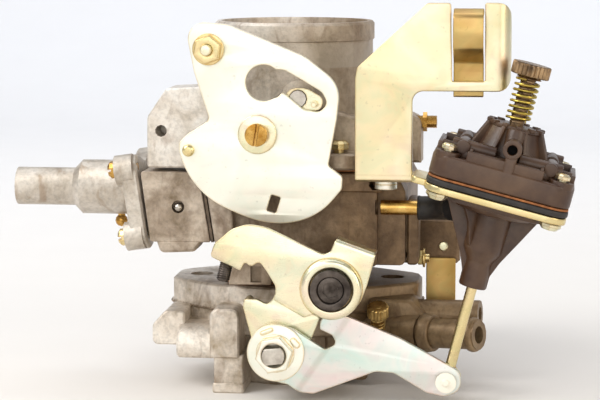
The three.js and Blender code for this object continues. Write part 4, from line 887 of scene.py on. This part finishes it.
class CARB_OT_positioner(bpy.types.Operator):
    """Push rod, adjuster knob and spring of the vacuum positioner"""
    bl_idname = "carb.positioner"
    bl_label = "Vacuum positioner"

    def execute(self, context):
        up = (0, 0, 1)
        eye = sheet([rounded([(-4.6, -3.2, 2.6), (4.6, -3.2, 2.6), (4.6, 3.2, 2.6), (1.9, 5.4, 1),
                              (-1.9, 5.4, 1), (-4.6, 3.2, 2.6)]),
                     rounded([(-3, -1.6, 1.5), (3, -1.6, 1.5), (3, 1.6, 1.5), (-3, 1.6, 1.5)])], -1.2, 1.2, 0.3)
        push = joined(eye, rod(1.9, (0, 0, 4.2), (0, 0, 73), 32),
                      disc(8.6, 1.4, (0, 0, 72.4), up))
        piece("rod_with_eye", carried(push, LEAN), "nut_zinc", "positioner_rod", ["push_rod"])
        a = np.linspace(0, 2 * np.pi, 240, endpoint=False)
        r = 6.9 - 0.55 * np.abs(np.cos(12 * a)) ** 3
        knurl = np.stack([r * np.cos(a), r * np.sin(a)], 1)
        knob = joined(sheet([knurl], 112.0, 116.5, 0.6, Matrix.Identity(4), 3),
                      rod(2.55, (0, 0, 84.5), (0, 0, 112.5), 32),
                      helix(2.5, 0.3, (0, 0, 95), (0, 0, 111.8), 20, 20, 6),
                      turned([(0, 0), (4.6, 0), (3.4, 1.2), (0, 1.2)], 0.3, (0, 0, 111.2), up, 40))
        piece("knob", carried(knob, LEAN), "bronzed", "adjuster", ["adjuster_knob"])
        spring = helix(4.05, 0.5, (0, 0, 95.8), (0, 0, 110.9), 7.6, 30, 10)
        piece("knob_spring", carried(spring, LEAN), "spring_zinc", "carburettor", ["adjuster_spring"])
        flat = Matrix.Identity(4)

        def about(shape, degrees):
            """The shape turned about the positioner's axis."""
            return carried(shape, Matrix.Rotation(math.radians(degrees), 4, "Z"))

        def web(outline, half):
            """Upright rib through the axis."""
            return sheet([rounded(outline)], -half, half, 0.25, FACE_ON)

        parts = [sheet([square(25, 7)], 72.7, 80.4, 0.9, flat, 3),
                 sheet([square(19.5, 6)], 80, 83.4, 0.8, flat),
                 turned([(0, 83), (12.4, 83), (11.8, 86), (9.3, 93.2), (0, 93.2)], 0.5, (0, 0, 0), up, 56),
                 disc(9.8, 1.3, (0, 0, 93), up, 56)]
        rib = [(7.8, 83, 0), (15.4, 83, 0.4), (15, 85, 0.6), (10.6, 93.8, 0.5), (7.8, 93.8, 0)]
        parts += [about(web(rib, 0.7), 22.5 + 45 * k) for k in range(8)]
        tooth = [(7.9, 93.6, 0.2), (10.4, 93.6, 0.3), (10.4, 94.9, 0.3), (7.9, 94.9, 0.3)]
        parts += [about(web(tooth, 1.0), 30 * k + 8) for k in range(12)]
        for k in range(4):
            wall = sheet([rounded([(-13.5, -24.4, 0.5), (13.5, -24.4, 0.5), (13.5, -22.4, 0.5),
                                   (-13.5, -22.4, 0.5)])], 79.8, 83.6, 0.3, flat)
            ridges = [rod(2.5, (x, -15.5, 84), (x + 15.5, -15.5, 84), 28, 0.6) for x in (-19.5, 4)]
            gussets = [sheet([rounded([(x, -23, 0.2), (x + 1.1, -23, 0.2), (x + 1.1, -15, 0.2),
                                       (x, -15, 0.2)])], 79.8, 84.4, 0.25, flat) for x in (-13, 12)]
            parts += [about(item, 90 * k) for item in (wall, *ridges, *gussets)]
            parts.append(about(disc(4.4, 2.6, (-20, -20, 79), up, 36, 0.4), 90 * k))
        holes = [circle(2.0, x, y, 24) for x in (-20, 20) for y in (-20, 20)]
        pressed = joined(sheet([square(25, 7), circle(15.2), *holes], 66.9, 69.3, 0.45, flat, 3),
                         sheet([rounded([(-30.2, -14, 2), (-24, -14), (-24, 8), (-30.2, 8, 2)])],
                               66.9, 69.3, 0.45, flat, 3))
        piece("diaphragm_plate", carried(pressed, LEAN), "nut_zinc", "carburettor", ["positioner_plate"])
        bead = sheet([square(25.1, 7), circle(18), *holes], 69.5, 71.7, 0.7, flat, 4)
        piece("diaphragm_bead", carried(bead, LEAN), "rubber", "carburettor", ["positioner_diaphragm_rim"])
        seal = sheet([square(24.9, 7), circle(18), *holes], 71.8, 72.5, 0.2, flat)
        piece("diaphragm_seal", carried(seal, LEAN), "fibre", "carburettor", ["positioner_gasket"])
        aim = (0, -1, 0.03)
        parts += [turned([(1.75, 0), (3.3, 0), (3.3, 16), (1.75, 16)], 0.4, (1, -9, 87.4), aim, 44),
                  rod(3.6, (1, -10.2, 86), (1, -8.6, 93.4), 36, 1.2),
                  sheet([rounded([(-0.6, -24.9, 1), (3.4, -24.9, 1), (3.4, -12, 0.2), (-0.6, -12, 0.2)])],
                        73.4, 85.5, 0.5, flat)]
        piece("upper_housing", carried(joined(*parts), LEAN), "nylon_black", "carburettor",
              ["positioner_upper_housing"])
        # painted shade: a near-black plug stands in for the shade inside the nipple's bore
        inside = rod(1.8, (1, -15.5, 87.6), (1, -19.5, 87.7), 24, 0.1)
        piece("nipple_bore", carried(inside, LEAN), "deep", "carburettor", ())
        low = [turned([(0, 66.7), (17.2, 66.7), (16.9, 64.8), (14.2, 62.6), (8, 61.6), (0, 61.6)], 0.8,
                      (0, 0, 0), up, 64),
               sheet([square(17.2, 5)], 64.4, 66.7, 0.5, flat),
               turned([(2.5, 35), (4.9, 35), (4.6, 44.5), (6.9, 48.5), (7.4, 63), (2.5, 63)], 0.5,
                      (0, 0, 0), up, 56)]
        fin = [(3, 63.4, 0), (16.6, 63.4, 0.5), (12, 54.6, 6), (7.2, 45.6, 6), (5.0, 40, 3), (5.0, 35.4, 0.4),
               (3, 35.4, 0)]
        low += [about(web(fin, 0.8), degrees) for degrees in (0, 180, 90)]
        fin = [(5, 63.4, 0), (14.5, 63.4, 0.5), (10.4, 58, 3), (7.4, 50, 2), (5, 48, 0)]
        low.append(about(web(fin, 0.7), 225))
        piece("lower_housing", carried(joined(*low), LEAN), "nylon_black", "carburettor",
              ["positioner_lower_housing"])
        return {"FINISHED"}


class CARB_OT_pipes(bpy.types.Operator):
    """Brass vacuum tube and its rubber sleeve"""
    bl_idname = "carb.pipes"
    bl_label = "Vacuum tube"

    def execute(self, context):
        tube = turned([(1.8, 0), (2.7, 0), (2.7, 15), (1.8, 15)], 0.2, (35, -29.2, 67.4),
                      (1, 0, 0), 40)
        piece("brass_tube", tube, "drawn_brass", "carburettor", ["vacuum_tube"])
        t = np.linspace(0, 1, 40)
        path = np.stack([48.4 + 13.6 * t, -29.2 - 11 * t ** 3, 67.4 + 1.2 * t * t], 1)
        r = 4.3 + 0.25 * np.exp(-((t - 0.04) / 0.03) ** 2)
        r[0] = 4.0
        piece("sleeve", swept(path, r, 36), "rubber", "carburettor", ["rubber_sleeve"], 60)
        return {"FINISHED"}


class CARB_OT_stage(bpy.types.Operator):
    """Pale floor that sweeps up into a backdrop, soft lights and the camera"""
    bl_idname = "carb.stage"
    bl_label = "Stage"

    def execute(self, context):
        look = context.scene.carb_looks
        scene = context.scene
        s = np.linspace(-1.6, 2.6, 90)
        rise = np.where(s > 1.0, (s - 1.0) ** 2 * 0.75, 0)
        x = np.linspace(-3.2, 3.2, 3)
        grid = np.stack(np.broadcast_arrays(x[None, :], s[:, None], rise[:, None]), -1).reshape(-1, 3)
        mesh = bpy.data.meshes.new("floor")
        mesh.from_pydata(grid.tolist(), [], grid_faces(len(s), 3))
        mesh.flip_normals()
        mesh.shade_smooth()
        m, tree, shader = blank_material("Matt white card", 0.0, 0.85)
        at = node(tree, "TexCoord", "Object")
        # painted light: the card is warmer and slightly darker near the camera, cooler and brighter up the
        # backdrop
        depth = node(tree, "SeparateXYZ", 1, Vector=at)
        depth = node(tree, "MapRange", Value=depth, From_Min=-0.3, From_Max=1.3)
        card = node(tree, "ValToRGB", stops=[(0.0, "#EEE9E3"), (0.3, "#EBE9E6"), (1.0, "#F0F2F6")], Fac=depth)
        cloud = node(tree, "TexNoise", Vector=at, Scale=cells(40), Detail=3, Roughness=0.5)
        cloud = node(tree, "ValToRGB", stops=[(0.3, 0.8), (0.7, 1.0)], Fac=cloud)
        card = node(tree, "Mix", 2, DARKEN, _0=0.06, _6=card, _7=cloud)
        tree.links.new(card, shader.inputs["Base Color"])
        mesh.materials.append(m)
        floor = bpy.data.objects.new("floor", mesh)
        scene.collection.objects.link(floor)
        world = bpy.data.worlds.new("room")
        world.use_nodes = True
        world.node_tree.nodes["Background"].inputs["Color"].default_value = linear("#F0EFEE")
        world.node_tree.nodes["Background"].inputs["Strength"].default_value = look.room_light
        scene.world = world
        for name, place, size, power, tone in (
                ("key", (-0.85, -0.6, 1.0), (0.8, 0.8), 12.0, "#FFFCF9"),
                ("front", (0.15, -2.3, 0.75), (2.3, 1.5), 16, "#FFFEFA"),
                ("top", (0.0, 0.35, 1.5), (1.4, 1.0), 6.5, "#F3F7FF"),
                ("right", (1.1, -0.7, 0.45), (0.6, 0.7), 4.6, "#FFF1DE"),
                ("card light", (0.0, 0.6, 1.2), (2.2, 0.6), 7, "#F8FAFF")):
            light = bpy.data.lights.new(name, "AREA")
            light.shape = "RECTANGLE"
            light.size, light.size_y = size
            light.energy = power * look.lamp_power
            light.color = linear(tone)[:3]
            lamp = bpy.data.objects.new(name, light)
            lamp.location = place
            aim = Vector((0, 1.7, 0.35)) if name == "card light" else Vector((0, 0, 0.07))
            lamp.rotation_euler = (aim - Vector(place)).to_track_quat("-Z", "Y").to_euler()
            scene.collection.objects.link(lamp)
        camera = bpy.data.cameras.new("camera")
        camera.sensor_width, camera.lens, camera.clip_end = 36, 135.66, 20
        eye = bpy.data.objects.new("camera", camera)
        eye.location = EYE * MM + Vector(BARREL)
        eye.rotation_euler = (math.radians(90 - LOOK_DOWN), 0, math.radians(LOOK_LEFT))
        scene.collection.objects.link(eye)
        scene.camera = eye
        scene.view_settings.view_transform = "Standard"
        return {"FINISHED"}


# ---- settings and panel -------------------------------------------------------------------------

class CarbSizes(bpy.types.PropertyGroup):
    cast_edge: bpy.props.FloatProperty(name="Casting edge", description="Radius of the cast edges",
                                       default=0.55 * MM, min=0.1 * MM, max=1.5 * MM, unit="LENGTH")


class CarbLooks(bpy.types.PropertyGroup):
    plastic_dark: bpy.props.StringProperty(name="Housing colour", description="sRGB hex of the nylon",
                                           default="#3A2315")
    room_light: bpy.props.FloatProperty(name="Room light", description="Strength of the room's light",
                                        default=0.52, min=0, max=5)
    lamp_power: bpy.props.FloatProperty(name="Lamp power", description="Factor on every lamp",
                                        default=1.0, min=0, max=10)


OPERATORS = (CARB_OT_castings, CARB_OT_choke_cam, CARB_OT_bracket, CARB_OT_fast_idle, CARB_OT_levers,
             CARB_OT_positioner, CARB_OT_pipes, CARB_OT_stage)


class CARB_PT_panel(bpy.types.Panel):
    """Buttons that build the carburettor's pieces"""
    bl_idname = "CARB_PT_panel"
    bl_label = "Carburettor"
    bl_space_type = "VIEW_3D"
    bl_region_type = "UI"
    bl_category = "Carburettor"

    def draw(self, context):
        for group in (context.scene.carb_sizes, context.scene.carb_looks):
            for key in group.__annotations__:
                self.layout.prop(group, key)
        for item in OPERATORS:
            self.layout.operator(item.bl_idname)


CLASSES = (CarbSizes, CarbLooks, *OPERATORS, CARB_PT_panel)


def register():
    """Adds the classes and the scene's settings."""
    for item in CLASSES:
        bpy.utils.register_class(item)
    bpy.types.Scene.carb_sizes = bpy.props.PointerProperty(type=CarbSizes)
    bpy.types.Scene.carb_looks = bpy.props.PointerProperty(type=CarbLooks)


def unregister():
    """Removes them again."""
    del bpy.types.Scene.carb_looks
    del bpy.types.Scene.carb_sizes
    for item in reversed(CLASSES):
        bpy.utils.unregister_class(item)


def main():
    """Builds every piece."""
    register()
    make_materials(bpy.context.scene.carb_looks)
    for item in OPERATORS:
        group, call = item.bl_idname.split(".")
        getattr(getattr(bpy.ops, group), call)()


if __name__ == "__main__":
    main()
